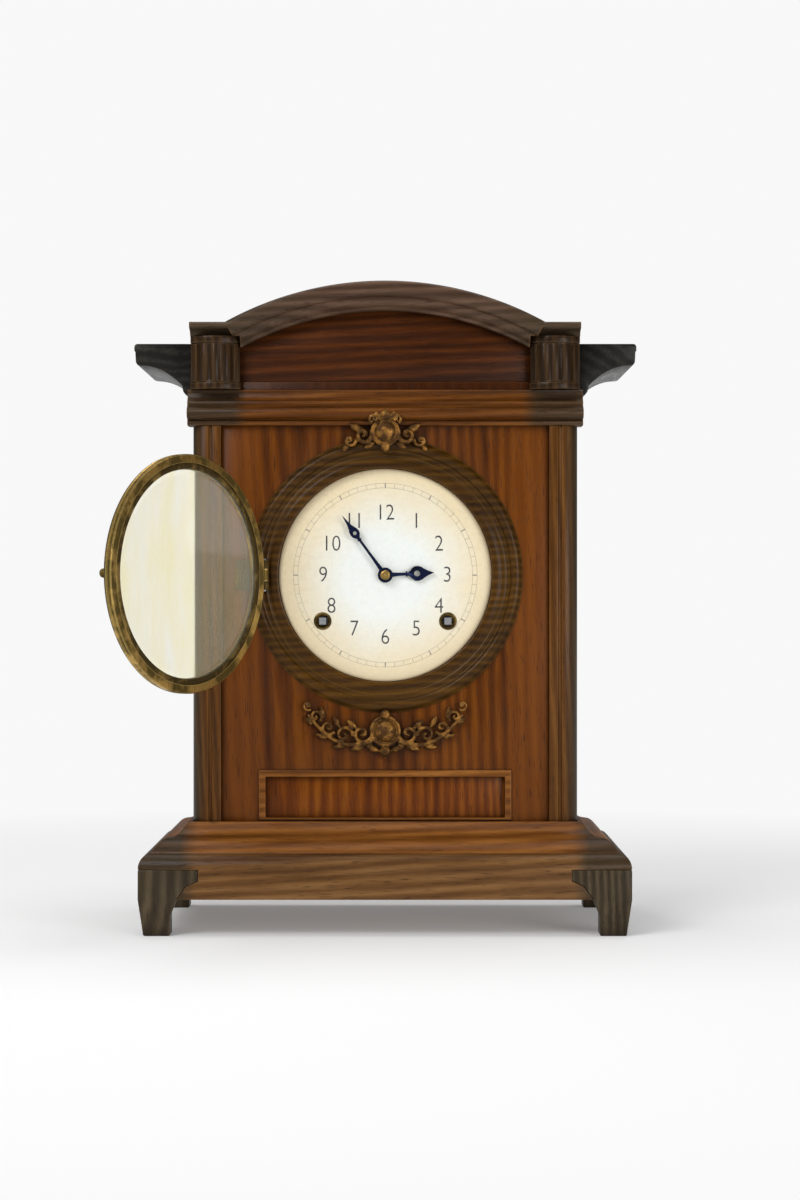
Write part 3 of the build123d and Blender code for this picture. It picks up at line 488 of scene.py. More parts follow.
endTones = {"endDark": tint(18, 15, 10), "endLight": tint(66, 56, 40)}
walnut = {
    # the front board takes painted shade over its strip above the cornice
    "front": timber("Z", 3, 7.5, (50, 20, 2), (88, 44, 4), (120, 66, 12), darkAbove=(322, 328, 0.85),
                    sapEdges=(73, 78), sapDark=tint(72, 32, 3), sapLight=tint(120, 66, 15)),
    "panel": timber("Z", 5, 6.0, (64, 25, 2), (110, 55, 5), (142, 82, 18)),
    "side": timber("Z", 7, 9.0, (44, 21, 6), (76, 40, 13), (104, 60, 24)),
    "sideRight": timber("Z", 8, 8.5, (44, 21, 6), (76, 40, 13), (104, 60, 24)),
    "post": timber("Z", 2, 5.0, (50, 28, 7), (84, 50, 15), (114, 74, 30), darkEnds=(109, 115.5, 0.85),
                   **endTones),
    "pediment": timber("X", 4, 6.5, (34, 13, 1), (60, 27, 4), (92, 46, 10)),
    "cornice": timber("X", 6, 5.5, (54, 27, 6), (88, 48, 12), (122, 74, 28), darkEnds=(84, 92, 0.80),
                      **endTones),
    "arch": timber("X", 9, 6.0, (46, 31, 22), (76, 56, 43), (106, 82, 66), wear=0.5,
                   darkEnds=(40, 96, 0.75), **endTones),
    "block": timber("Z", 1, 5.0, (24, 14, 5), (43, 28, 13), (76, 54, 30), wear=0.7, worn=tint(112, 86, 54)),
    "roof": timber("Y", 10, 8.0, (36, 21, 12), (60, 38, 23), (84, 56, 35)),
    "apron": timber("X", 12, 7.0, (62, 37, 16), (98, 66, 34), (130, 94, 56), darkEnds=(113, 121, 0.85),
                    **endTones),
    "ogee": timber("X", 14, 6.0, (66, 34, 8), (112, 66, 23), (146, 94, 42)),
    "dark": timber("Y", 11, 6.0, (15, 15, 13), (29, 28, 25), (54, 51, 45), wear=0.45,
                   worn=tint(100, 90, 74)),
    "foot": timber("Z", 13, 5.0, (32, 26, 17), (62, 52, 38), (94, 82, 62), wear=0.6,
                   worn=tint(118, 102, 78)),
    "plain": timber("Z", 15, 9.0, (96, 68, 38), (132, 98, 60), (162, 126, 82), coat=0.0,
                    worn=tint(170, 138, 98)),
    "dialRing": timber("X", 16, 5.0, (36, 20, 3), (64, 40, 7), (94, 62, 16), wear=0.8,
                       worn=tint(124, 94, 44)),
}

# the same woods with their grain turned: finish, wood, grain, seed
turnedWoods = {
    "apronSide": ("apronSideWalnut", "apron", "Y", 17),
    "ogeeSide": ("ogeeSideWalnut", "ogee", "Y", 18),
    "frame": ("panelFrameWalnut", "ogee", "X", 19),
    "frameUp": ("panelFrameUprightWalnut", "ogee", "Z", 20),
    "plainFlat": ("plainFlatBoard", "plain", "X", 21),
    "plainDoor": ("plainDoorBoard", "plain", "Z", 22),
}
wood = {name: woodFinish(name + "Walnut", look) for name, look in walnut.items()}
for name, (finishName, source, grain, seed) in turnedWoods.items():
    wood[name] = woodFinish(finishName, {**walnut[source], "grain": grain, "seed": seed})
darkFlow = {**walnut["ogee"], "seed": 23, "darkEnds": (113, 123, 0.85), **endTones}
wood["ogeeFlow"] = woodFinish("ogeeFlowWalnut", darkFlow)

metal = {
    "bezel": plating((196, 158, 88), (66, 58, 26), 0.62, 0.26, reach=5.0, edge=0.8, wear=0.8,
                     worn=tint(226, 196, 122), brush="Z", cloud=60.0),
    "hinge": plating((150, 124, 70), (52, 42, 24), 0.7, 0.36),
    "movement": plating((206, 170, 100), (120, 88, 44), 0.35, 0.24),
    "steel": plating((178, 180, 184), (96, 84, 74), 0.3, 0.26),
    "blued": plating((34, 42, 74), (20, 20, 26), 0.4, 0.26, worn=tint(110, 112, 120), wear=0.35, edge=0.2),
    "gong": plating((120, 118, 122), (70, 54, 44), 0.5, 0.32),
    "iron": plating((74, 72, 72), (62, 42, 32), 0.5, 0.55),
    "gilt": plating((144, 100, 42), (56, 33, 11), 0.62, 0.40, reach=5.0, edge=0.5, wear=0.85,
                    worn=tint(186, 148, 84), cloud=180.0, metal=0.75),
}
fittings = {name: metalFinish(name + "Metal", look) for name, look in metal.items()}
enamel = dialFinish("creamEnamel", {"middle": tint(226, 230, 226), "rim": tint(224, 208, 172),
                                    "age": tint(178, 156, 112), "speck": tint(96, 84, 64)})
numeralInk = inkFinish("numeralInk", tint(36, 36, 44), tint(120, 118, 116))
trackInk = inkFinish("trackInk", tint(128, 124, 116), tint(196, 190, 172))
oldGlass = glassFinish("oldGlass", {"clear": tint(255, 254, 244), "film": tint(255, 247, 204),
                                    "through": 0.91})
print("finishes mixed")


# boards cut as the frame says: piece, easing of its arrises in mm, finish, slot
boards = {
    "front_board": ("frontBoard", 0.5, "front", "walnut_body"),
    "left_side_board": ("leftSideBoard", 0.6, "side", "walnut_body"),
    "right_side_board": ("rightSideBoard", 0.6, "sideRight", "walnut_body"),
    "pediment_board": ("pedimentBoard", 0.4, "pediment", "walnut_body"),
    "lower_panel": ("lowerPanel", 0.3, "panel", "walnut_body"),
    "roof_board": ("roofBoard", 0.8, "roof", "walnut_roof"),
    "left_pilaster": ("leftPilaster", 0.5, "post", "walnut_post"),
    "right_pilaster": ("rightPilaster", 0.5, "post", "walnut_post"),
    "back_board": ("backBoard", 0.5, "plain", "plain_wood"),
    "bottom_board": ("bottomBoard", 0.5, "plainFlat", "plain_wood"),
}


def cutBoards():
    for node, (name, easing, finish, slot) in boards.items():
        piece = softCopy(node, name, easing)
        finishPiece(piece, "case", slot, wood[finish], node)
    door = softCopy("back_door", "backDoor", 0.6)
    finishPiece(door, "service_door", "plain_wood", wood["plainDoor"], "back_door")


def buildBase():
    apron = softCopy("base_apron", "baseApron", 0.5)
    finishPiece(apron, "case", "walnut_base", [wood["apron"], wood["apronSide"]], "base_apron")
    secondFinishWhere(apron, lambda normal, middle: abs(normal.x) > abs(normal.y) and abs(middle.x) > 0.1)
    flow = softCopy("base_molding", "baseMolding", 0.35)
    finishPiece(flow, "case", "walnut_body", [wood["ogeeFlow"], wood["ogeeSide"]], "base_molding")
    secondFinishWhere(flow, lambda normal, middle: abs(normal.x) > abs(normal.y))
    edging = softCopy("panel_molding", "panelMolding", 0.55, 3)
    finishPiece(edging, "case", "walnut_base", [wood["frame"], wood["frameUp"]], "panel_molding")
    secondFinishWhere(edging, lambda normal, middle: abs(middle.x) > 0.0735)
    for node, name in (("front_left_foot", "frontLeftFoot"), ("front_right_foot", "frontRightFoot"),
                       ("rear_feet", "rearFeet")):
        foot = softCopy(node, name, 1.0, 3)
        finishPiece(foot, "case", "dark_wood", wood["foot"], node)


cutBoards()
buildBase()
print("boards, base and feet cut")


archShape = {"outerRadius": 200.68, "centreZ": 193.32, "reach": 28.9, "steps": 72}
blockShape = {"inner": 88.0, "outer": 118.5, "low": corniceTop, "high": blockTop, "reeds": 3, "band": 5.0}


def bendArch():
    r = archShape["outerRadius"]
    low = r - 17
    section = [(low, frontY), (low, -49.5), (low + 0.7, -50.2), (low + 1.6, -50.6), (low + 2.2, -52.2),
               (low + 3.4, -54.2), (low + 5.2, -55.5), (low + 7.0, -56.0), (low + 7.4, -57.6),
               (low + 8.2, -58.8), (low + 9.6, -59.6), (low + 11.2, -60.0), (r - 2.0, -60.0),
               (r - 0.7, -59.4), (r, -58.2), (r, frontY)]
    start = radians(archShape["reach"])
    corners = [(p * sin(start), y, archShape["centreZ"] + p * cos(start)) for p, y in section]
    piece = drawOutline("archMolding", corners)
    bpy.ops.mesh.select_all(action="SELECT")
    bpy.ops.mesh.edge_face_add()
    bpy.ops.mesh.spin(steps=archShape["steps"], angle=radians(2 * archShape["reach"]),
                      center=(0, 0, archShape["centreZ"] * mm), axis=(0, 1, 0))
    mergeAndTurnOut(piece)
    level = [(frontY, blockTop), (-50.4, blockTop), (-51.4, 361.6), (-52.4, 363.0), (-54.2, 364.1),
             (-56.0, 364.5), (-57.6, 364.7), (-58.8, 365.2), (-59.7, 366.0), (-60.0, 367.0), (-59.7, 368.2),
             (-58.6, 369.0), (frontY, 369.0)]
    for side in (-1, 1):
        near, far = sorted((side * blockShape["inner"], side * 130.0))
        carve(piece, boxBlank("notch", (near, -70, 300), (far, -40, blockTop)))
        near, far = sorted((side * (blockShape["inner"] - 1), side * blockShape["outer"]))
        carve(piece, runProfile("levelEnd", [(near, y, z) for y, z in level], (far - near, 0, 0)), "UNION")
    roundEdges(piece, 0.25, 1, 40)
    smoothBelow(piece)
    return finishPiece(piece, "case", "walnut_roof", wood["arch"], "arch_molding")


def runCornice():
    section = [(frontY, underCornice), (-47.6, underCornice), (-48.6, 307.5), (-49.0, 308.4),
               (-49.0, 309.6), (-48.0, 310.2)]
    section += arcCorners((-50.2, 314.6), 3.6, -100, -260, 12)
    section += [(-48.8, 319.4), (-49.4, 320.2), (-49.3, 321.6), (-48.4, 322.2), (-47.0, 323.2),
                (-46.2, 324.8), (-46.0, 327.0), (-46.4, 327.6), (-46.4, 328.6), (-46.0, corniceTop),
                (frontY, corniceTop)]
    half = bodyHalf + 3
    piece = runProfile("corniceMolding", [(-half, y, z) for y, z in section], (2 * half, 0, 0))
    for side in (-1, 1):
        near, far = sorted((side * postInner, side * half))
        carve(piece, boxBlank("return", (near, -44.6, underCornice), (far, boardBack, corniceTop)), "UNION")
    roundEdges(piece, 0.35, 2, 50)
    smoothBelow(piece)
    return finishPiece(piece, "case", "walnut_body", wood["cornice"], "cornice_molding")


def bowedPlan(inset, reeded):
    # the block's outline from above: a shallow bow, with upright reeds across it
    inner = blockShape["inner"]
    outer = blockShape["outer"]
    across = outer - inner
    plan = [(inner + inset, frontY)]
    count = 36
    for step in range(count + 1):
        part = step / count
        bow = frontY - 5 - 7 * (1 - (2 * part - 1) ** 2)
        x = inner + inset + (across - 2 * inset) * part
        depth = bow + inset
        if reeded and 0.13 < part < 0.87:
            wave = abs(sin(pi * blockShape["reeds"] * (part - 0.13) / 0.74))
            depth = bow + inset + 1.7 * (1 - wave)
        plan.append((x, depth))
    plan.append((outer - inset, frontY))
    return plan


def buildCornerBlocks():
    low, high, band = blockShape["low"], blockShape["high"], blockShape["band"]
    halves = []
    for side in (-1, 1):
        def layer(name, inset, reeded, z0, z1):
            plan = [(side * x, y, z0) for x, y in bowedPlan(inset, reeded)]
            return runProfile(name, plan, (0, 0, z1 - z0))
        piece = layer("cornerBlock", 0.5, True, low + band - 0.5, high - band + 0.5)
        carve(piece, layer("foot", 0.0, False, low, low + band - 1.2), "UNION")
        carve(piece, layer("lip", 1.0, False, low + band - 1.3, low + band), "UNION")
        carve(piece, layer("neck", 1.0, False, high - band, high - band + 1.3), "UNION")
        carve(piece, layer("cap", 0.0, False, high - band + 1.2, high), "UNION")
        near, far = sorted((side * postInner, side * blockShape["outer"]))
        carve(piece, boxBlank("tail", (near, -44.6, low), (far, boardBack, high)), "UNION")
        roundEdges(piece, 0.35, 2, 40)
        smoothBelow(piece, 40)
        halves.append(piece)
    blocks = joinPieces(halves[0], halves[1])
    blocks.name = "cornerBlocks"
    return finishPiece(blocks, "case", "walnut_post", wood["block"], "corner_blocks")


def runCrown(side, node, name):
    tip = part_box(node)[0 if side < 0 else 1][0] / mm * side
    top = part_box(node)[1].z / mm
    section = [(bodyHalf, top), (tip - 1.6, top), (tip - 0.5, top - 0.6), (tip, top - 1.8),
               (tip, top - 4.2), (tip - 0.6, top - 5.0), (tip - 0.9, top - 11.2), (tip - 1.8, top - 12.8),
               (tip - 4.0, top - 13.4)]
    cove = []
    for step in range(1, 11):
        part = step / 10
        x = (tip - 4.0) + (125.6 - tip + 4.0) * part
        z = top - 13.4 - 11.8 * part ** 2.1
        cove.append((x, z))
    section += cove + [(124.9, top - 25.9), (124.9, top - 27.2), (124.4, top - 29.4), (123.2, top - 31.0),
                       (121.6, top - 31.6), (bodyHalf, top - 31.6)]
    piece = runProfile(name, [(side * x, boardBack, z) for x, z in section], (0, sideBack - boardBack, 0))
    roundEdges(piece, 0.5, 2, 45)
    smoothBelow(piece)
    return finishPiece(piece, "case", "dark_wood", wood["dark"], node)


bendArch()
runCornice()
buildCornerBlocks()
runCrown(-1, "left_crown_molding", "leftCrownMolding")
runCrown(1, "right_crown_molding", "rightCrownMolding")
print("mouldings run")


dialShape = {"disc": 65.0, "numeralRadius": 38.0, "numeralSize": 13.8,
             "trackInner": 53.4, "trackOuter": 56.2}


def turnDialRing():
    section = [(65.4, -44.0), (65.4, -44.9), (66.0, -45.2), (69.6, -45.2), (70.2, -44.9), (71.0, -44.5),
               (72.4, -44.7), (73.0, -45.1), (73.6, -44.7), (75.4, -44.6), (76.2, -45.0)]
    bead = [radians(170 - 16 * step) for step in range(10)]
    section += [(79.6 + 3.4 * cos(a), -44.3 - 2.7 * sin(a)) for a in bead]
    section += [(83.4, -44.9), (84.0, -44.5), (84.0, -44.0)]
    ring = turnProfile("dialRing", section, steps=160)
    carve(ring, boxBlank("leafPocket", (-92.2, -50, dialZ - 9.05), (-73.5, -43, dialZ + 9.05)))
    smoothBelow(ring)
    return finishPiece(ring, "case", "dial_surround", wood["dialRing"], "dial_ring")


def turnDial():
    r = dialShape["disc"]
    section = [(0, dialY), (r - 1.2, dialY), (r - 0.5, -40.8), (r, -40.4), (r, -40.0), (0, -40.0)]
    disc = turnProfile("dialDisc", section)
    carve(disc, rodBlank("hole", (0, -40.5, dialZ), 4.0, 4))
    for x, z in windingHoles:
        carve(disc, rodBlank("hole", (x, -40.5, z), 4.8, 4))
    roundEdges(disc, 0.08, 1, 40)
    smoothBelow(disc)
    return finishPiece(disc, "case", "dial_enamel", enamel, "dial_disc")


def writeNumeral(hour):
    angle = radians(30 * hour)
    chooseNone()
    bpy.ops.object.text_add(location=(0, 0, 0))
    numeral = bpy.context.active_object
    numeral.data.body = str(hour)
    numeral.data.align_x = "CENTER"
    numeral.data.align_y = "CENTER"
    numeral.data.size = dialShape["numeralSize"] * mm
    numeral.data.offset = -0.16 * mm
    numeral.data.extrude = 0.02 * mm
    numeral.data.resolution_u = 4
    bpy.ops.object.convert(target="MESH")
    numeral.scale = (0.86, 1.0, 1.0)
    numeral.rotation_euler = (pi / 2, 0, 0)
    r = dialShape["numeralRadius"]
    numeral.location = Vector((r * sin(angle), dialY - 0.03, dialZ + r * cos(angle))) * mm
    settle()
    return numeral


def paintNumerals():
    numerals = [writeNumeral(hour) for hour in range(1, 13)]
    piece = joinPieces(numerals[0], *numerals[1:])
    piece.name = "dialNumerals"
    mergeAndTurnOut(piece, 0.001)
    return finishPiece(piece, "case", "dial_enamel", numeralInk)


def paintTrack():
    inner, outer = dialShape["trackInner"], dialShape["trackOuter"]
    strokes = []
    for r in (inner, outer):
        section = [(r - 0.09, dialY - 0.03), (r + 0.09, dialY - 0.03), (r + 0.09, dialY), (r - 0.09, dialY)]
        strokes.append(turnProfile("trackLine", section, steps=120))
    for minute in range(60):
        angle = radians(6 * minute)
        wide = 0.34 if minute % 5 == 0 else 0.10
        out = Vector((sin(angle), 0, cos(angle)))
        along = Vector((cos(angle), 0, -sin(angle)))
        middle = Vector((0, dialY, dialZ))
        corners = [middle + out * inner - along * wide, middle + out * inner + along * wide,
                   middle + out * outer + along * wide, middle + out * outer - along * wide]
        strokes.append(runProfile("tick", corners, (0, -0.03, 0)))
    piece = joinPieces(strokes[0], *strokes[1:])
    piece.name = "dialMinuteTrack"
    return finishPiece(piece, "case", "dial_enamel", trackInk)


def lineWindingHoles():
    rings = []
    for x, z in windingHoles:
        section = [(4.1, -40.0), (4.1, -41.3), (4.3, -41.6), (4.9, -41.6), (5.3, -41.4), (5.4, -41.0),
                   (4.8, -41.0), (4.8, -40.0)]
        rings.append(turnProfile("windingGrommet", section, x, z, 48))
    piece = joinPieces(rings[0], rings[1])
    piece.name = "windingGrommets"
    smoothBelow(piece, 50)
    return finishPiece(piece, "case", "bezel_brass", fittings["hinge"], "winding_grommets")


handShape = {
    "hour": {"angle": 87.0, "back": -42.7, "front": -43.5, "hub": 4.6, "bore": 3.0, "eye": (0, 19.5, 1.8)},
    "minute": {"angle": 324.0, "back": -44.6, "front": -45.3, "hub": 3.6, "bore": 2.0, "eye": (0, 31.6, 1.1)},
}
hourSide = [(1.5, 3.0), (1.0, 8.0), (0.9, 12.4), (1.7, 12.8), (1.7, 13.4), (1.0, 13.8), (1.6, 15.0),
            (3.2, 16.4), (4.4, 18.2), (4.6, 20.2), (4.0, 22.2), (2.6, 24.2), (1.3, 26.6), (0.6, 28.6)]
minuteSide = [(1.3, 2.0), (0.85, 14.0), (0.75, 26.0), (1.4, 26.4), (1.4, 27.0), (0.8, 27.4), (1.5, 28.6),
              (2.6, 30.0), (2.95, 31.6), (2.7, 33.4), (1.8, 35.4), (1.0, 38.0), (0.5, 42.0)]


def cutHand(name, shape, side, tip):
    angle = radians(shape["angle"])

    def onDial(x, z):
        return (x * cos(angle) + z * sin(angle), shape["back"], dialZ - x * sin(angle) + z * cos(angle))

    outline = [onDial(x, z) for x, z in side] + [onDial(0, tip)] + [onDial(-x, z) for x, z in reversed(side)]
    hand = runProfile(name, outline, (0, shape["front"] - shape["back"], 0))
    middle = (shape["front"] + shape["back"]) / 2
    thick = shape["back"] - shape["front"]
    carve(hand, rodBlank("hub", (0, middle, dialZ), shape["hub"], thick), "UNION")
    eye = onDial(*shape["eye"][:2])
    carve(hand, rodBlank("eye", (eye[0], middle, eye[2]), shape["eye"][2], 4))
    carve(hand, rodBlank("bore", (0, middle, dialZ), shape["bore"], 4))
    roundEdges(hand, 0.18, 2, 40)
    return smoothBelow(hand, 40)


def fitHands():
    hour = cutHand("hourHand", handShape["hour"], hourSide, 30.0)
    finishPiece(hour, "hour_works", "dark_steel", fittings["blued"], "hour_hand")
    minute = cutHand("minuteHand", handShape["minute"], minuteSide, 45.0)
    finishPiece(minute, "centre_works", "dark_steel", fittings["blued"], "minute_hand")
    section = [(1.2, -45.3), (1.2, -46.6), (1.5, -46.9), (2.3, -46.9), (2.8, -46.6), (3.0, -46.1),
               (3.0, -45.3)]
    nut = turnProfile("handNut", section, steps=40)
    finishPiece(smoothBelow(nut, 40), "centre_works", "bezel_brass", fittings["bezel"], "hand_nut")


turnDialRing()
turnDial()
paintNumerals()
paintTrack()
lineWindingHoles()
fitHands()
print("dial and hands fitted")


# the glazed bezel is modelled shut and then swung open
bezelShape = {"inner": 61.0, "rise": 4.0, "glass": 1.8}


def turnBezel():
    b = bezelBack
    section = [(65.0, b), (69.4, b), (70.0, b - 0.5), (70.0, b - 2.6), (69.6, b - 3.0), (69.6, b - 3.5),
               (70.0, b - 3.9), (69.8, b - 4.9), (69.2, b - 5.8), (68.3, b - 6.5), (67.2, b - 6.9),
               (66.0, b - 7.0), (65.0, b - 6.75), (64.4, b - 6.2), (64.1, b - 5.7), (63.4, b - 5.6),
               (62.4, b - 5.4), (61.5, b - 4.9), (61.0, b - 4.3), (61.0, b - 2.7), (65.0, b - 2.7)]
    ring = turnProfile("bezelRing", section, steps=160)
    x, y = hinge["x"], hinge["y"]
    carve(ring, boxBlank("tongue", (x, y - 2, dialZ - 3.7), (-68.6, y + 1, dialZ + 3.7)), "UNION")
    carve(ring, rodBlank("knuckle", (x, y, dialZ), 2.5, 7.4, "Z"), "UNION")
    carve(ring, rodBlank("pinHole", (x, y, dialZ), 1.05, 30, "Z"))
    pull = [(0, b - 5.5), (1.6, b - 5.5), (1.5, b - 7.4), (1.8, b - 8.2), (2.5, b - 8.8), (2.7, b - 9.5),
            (2.4, b - 10.3), (1.5, b - 10.9), (0, b - 11)]
    knob = turnProfile("bezelKnob", pull, 65.5, dialZ, 32)
    carve(ring, knob, "UNION")
    smoothBelow(ring, 38)
    swingOpen(ring)
    return finishPiece(ring, "bezel", "bezel_brass", fittings["bezel"], "bezel_ring")


def blowGlass():
    front = bezelBack - 2.7
    inner, rise, thick = bezelShape["inner"], bezelShape["rise"], bezelShape["glass"]
    domeRadius = (inner ** 2 + rise ** 2) / (2 * rise)
    domeY = front - rise + domeRadius

    def domeLine(reach, radius):
        radii = [reach * step / 14 for step in range(15)]
        return [(r, domeY - sqrt(radius ** 2 - r ** 2)) for r in radii]

    under = domeRadius - thick
    outside = domeLine(inner, domeRadius)
    inside = domeLine(inner * under / domeRadius, under)
    section = outside + [(64.8, front), (64.8, inside[-1][1])] + inside[::-1]
    glass = turnProfile("bezelGlass", section)
    smoothBelow(glass, 30)
    swingOpen(glass)
    return finishPiece(glass, "bezel", "clear_glass", oldGlass, "bezel_glass")


def fitRetainer():
    b = bezelBack
    section = [(61.5, b - 0.9), (61.5, b - 0.3), (61.8, b - 0.1), (64.7, b - 0.1), (65.0, b - 0.3),
               (65.0, b - 0.9)]
    ring = turnProfile("glassRetainer", section)
    smoothBelow(ring, 40)
    swingOpen(ring)
    return finishPiece(ring, "bezel", "bezel_brass", fittings["hinge"], "glass_retainer")


def fitHinge():
    leaf = softCopy("bezel_hinge_leaf", "bezelHingeLeaf", 0.25)
    screws = []
    section = [(0, -45.2), (0, -45.9), (1.0, -45.8), (1.5, -45.55), (1.6, -45.2)]
    for z in (dialZ - 5.2, dialZ + 5.2):
        head = turnProfile("leafScrew", section, -86.5, z, 24)
        carve(head, boxBlank("slotCut", (-89, -46.5, z - 0.2), (-84, -45.65, z + 0.2)))
        screws.append(head)
    joinPieces(leaf, *screws)
    smoothBelow(leaf, 40)
    finishPiece(leaf, "case", "bezel_brass", fittings["hinge"], "bezel_hinge_leaf")
    pin = softCopy("bezel_hinge_pin", "bezelHingePin", 0.2)
    finishPiece(pin, "case", "bright_steel", fittings["steel"], "bezel_hinge_pin")


turnBezel()
blowGlass()
fitRetainer()
fitHinge()
print("bezel hung")


castShape = {"grain": 0.42, "smoothing": 6}


def castStrand(name, spots, depth):
    # one tapering strand of a casting; spots are x, y, z, thickness
    line = bpy.data.curves.new(name, "CURVE")
    line.dimensions = "3D"
    line.bevel_depth = depth * mm
    line.bevel_resolution = 3
    line.resolution_u = 6
    line.use_fill_caps = True
    strand = line.splines.new("NURBS")
    strand.points.add(len(spots) - 1)
    for point, (x, y, z, thick) in zip(strand.points, spots):
        point.co = (x * mm, y * mm, z * mm, 1.0)
        point.radius = thick
    strand.order_u = 3
    strand.use_endpoint_u = True
    piece = bpy.data.objects.new(name, line)
    bpy.context.scene.collection.objects.link(piece)
    chooseOnly(piece)
    bpy.ops.object.convert(target="MESH")
    return piece


def scrollSpots(x, z, radius, turn, start, side, y):
    # a curl that winds in from its rim, in degrees
    spots = []
    count = 14
    for step in range(count + 1):
        part = step / count
        r = radius * (1 - 0.78 * part)
        angle = radians(start + turn * part)
        thick = 1.0 - 0.35 * part
        spots.append((side * (x + r * cos(angle)), y - 1.2 * part, z + r * sin(angle), thick))
    spots.append((side * x, y - 1.8, z, 1.25))
    return spots


def rimSpots(radius, y, z):
    turns = [radians(18 * step) for step in range(21)]
    return [(radius * cos(a), y, z + radius * sin(a), 1.0) for a in turns]


def castLeaf(name, x, z, length, wide, way, side, y):
    # a leaf lobe: an egg pressed long and thin, with its tips drawn in
    chooseNone()
    bpy.ops.mesh.primitive_uv_sphere_add(segments=20, ring_count=12, radius=mm, scale=(length, 1.9, wide))
    leaf = takeNew(name)
    for share, drawnIn in ((0.35, 0.90), (0.65, 0.78)):
        pickPoints(leaf, lambda spot: abs(spot.x) > share * length * mm)
        bpy.ops.transform.resize(value=(1, 1, drawnIn), center_override=(0, 0, 0))
        bpy.ops.object.mode_set(mode="OBJECT")
    leaf.rotation_euler = (0, -side * radians(way), 0)
    leaf.location = Vector((side * x, y, z)) * mm
    settle()
    return leaf


def castBoss(name, x, z, radius, y0, y1):
    # a domed button turned on its own axis
    dome = radius * 0.55
    section = [(0, y1), (radius, y1), (radius, y0 + dome)]
    section += [(radius * cos(a), y0 + dome - dome * sin(a)) for a in map(radians, (18, 36, 54, 72))]
    section += [(0, y0)]
    return turnProfile(name, section, x, z, 40)


def fuseCasting(name, parts, node):
    piece = joinPieces(parts[0], *parts[1:])
    piece.name = name
    chooseOnly(piece)
    skin = piece.modifiers.new("oneSkin", "REMESH")
    skin.mode = "VOXEL"
    skin.voxel_size = castShape["grain"] * mm
    bpy.ops.object.modifier_apply(modifier=skin.name)
    ease = piece.modifiers.new("easeCast", "SMOOTH")
    ease.factor = 0.5
    ease.iterations = castShape["smoothing"]
    bpy.ops.object.modifier_apply(modifier=ease.name)
    editWhole(piece)
    bpy.ops.mesh.bisect(plane_co=(0, frontY * mm, 0), plane_no=(0, 1, 0), clear_outer=True, use_fill=True)
    bpy.ops.object.mode_set(mode="OBJECT")
    mergeAndTurnOut(piece, 0.001)
    smoothBelow(piece, 60)
    return finishPiece(piece, "case", "gilt", fittings["gilt"], node)


def castCrest():
    y = -50.5
    parts = [castBoss("crestBoss", 0, 303.2, 6.4, -55.6, -46),
             castBoss("crestBead", 0, 313.2, 3.2, -55.2, -48),
             castBoss("crestDrop", 0, 293.6, 2.8, -52.4, frontY),
             castStrand("crestRim", rimSpots(8.0, -51.0, 303.2), 1.3)]
    for side in (-1, 1):
        parts.append(castStrand("crestScroll", scrollSpots(13.2, 301.2, 5.6, 430, 150, side, y), 1.55))
        parts.append(castStrand("crestCurl", scrollSpots(21.4, 298.0, 4.0, 400, 160, side, y + 1.5), 1.25))
        parts.append(castStrand("crestHorn", scrollSpots(6.6, 311.0, 3.2, 380, -60, side, y - 2.2), 1.15))
        parts.append(castLeaf("crestLeaf", 17.2, 305.4, 5.6, 2.4, 28, side, y + 1.0))
        parts.append(castLeaf("crestLeafLow", 9.4, 295.4, 4.6, 2.0, -28, side, y + 2.6))
        parts.append(castLeaf("crestTip", 24.0, 293.4, 3.0, 1.7, -50, side, y + 3.2))
    for turn in (60, 90, 120):
        x, z = 8.5 * cos(radians(turn)), 311.0 + 2.0 * sin(radians(turn))
        parts.append(castLeaf("crestPlume", x, z, 4.6, 1.6, turn, 1, -52.4))
    return fuseCasting("crestOrnament", parts, "crest_ornament")


def castSwag():
    y = -47.2
    parts = [castBoss("swagBoss", 0, 121.0, 6.6, -51.6, -43.6),
             castBoss("swagBead", 0, 131.0, 3.0, -50.2, -43.6),
             castBoss("swagDrop", 0, 108.6, 3.2, -50.4, -43.6),
             castStrand("swagRim", rimSpots(8.6, -46.8, 121.0), 1.3)]
    runs = ((14.0, 119.4, 6.0, 200), (25.0, 118.8, 5.4, 190), (34.6, 123.2, 4.8, 215),
            (42.4, 129.8, 4.1, 225), (47.0, 136.6, 3.2, 235))
    leaves = ((20.0, 124.8, 4.6, 1.9, 40), (29.6, 126.6, 4.4, 1.8, 62), (38.2, 132.2, 3.8, 1.5, 75),
              (7.6, 110.2, 4.6, 2.0, 20), (17.0, 110.4, 4.6, 1.8, -12), (28.6, 111.2, 4.2, 1.6, 2),
              (39.4, 117.8, 4.0, 1.5, 25), (46.8, 127.0, 3.6, 1.4, 48))
    for side in (-1, 1):
        for number, (x, z, radius, start) in enumerate(runs):
            turn = 410 if number % 2 == 0 else -410
            scroll = scrollSpots(x, z, radius, turn, start, side, y)
            parts.append(castStrand("swagScroll", scroll, 1.35 - 0.1 * number))
        parts.append(castStrand("swagStem", [(side * 8, y, 114.5, 1.1), (side * 18, y, 111.6, 1.2),
                                             (side * 30, y, 114.4, 1.1), (side * 40, y, 121.8, 0.95),
                                             (side * 47, y, 131.0, 0.7)], 1.25))
        for x, z, length, wide, way in leaves:
            parts.append(castLeaf("swagLeaf", x, z, length, wide, way, side, y + 0.8))
    parts.append(castLeaf("swagTail", 0, 106.8, 3.2, 1.6, -90, 1, y))
    return fuseCasting("swagOrnament", parts, "swag_ornament")


castCrest()
castSwag()
print("ornaments cast")


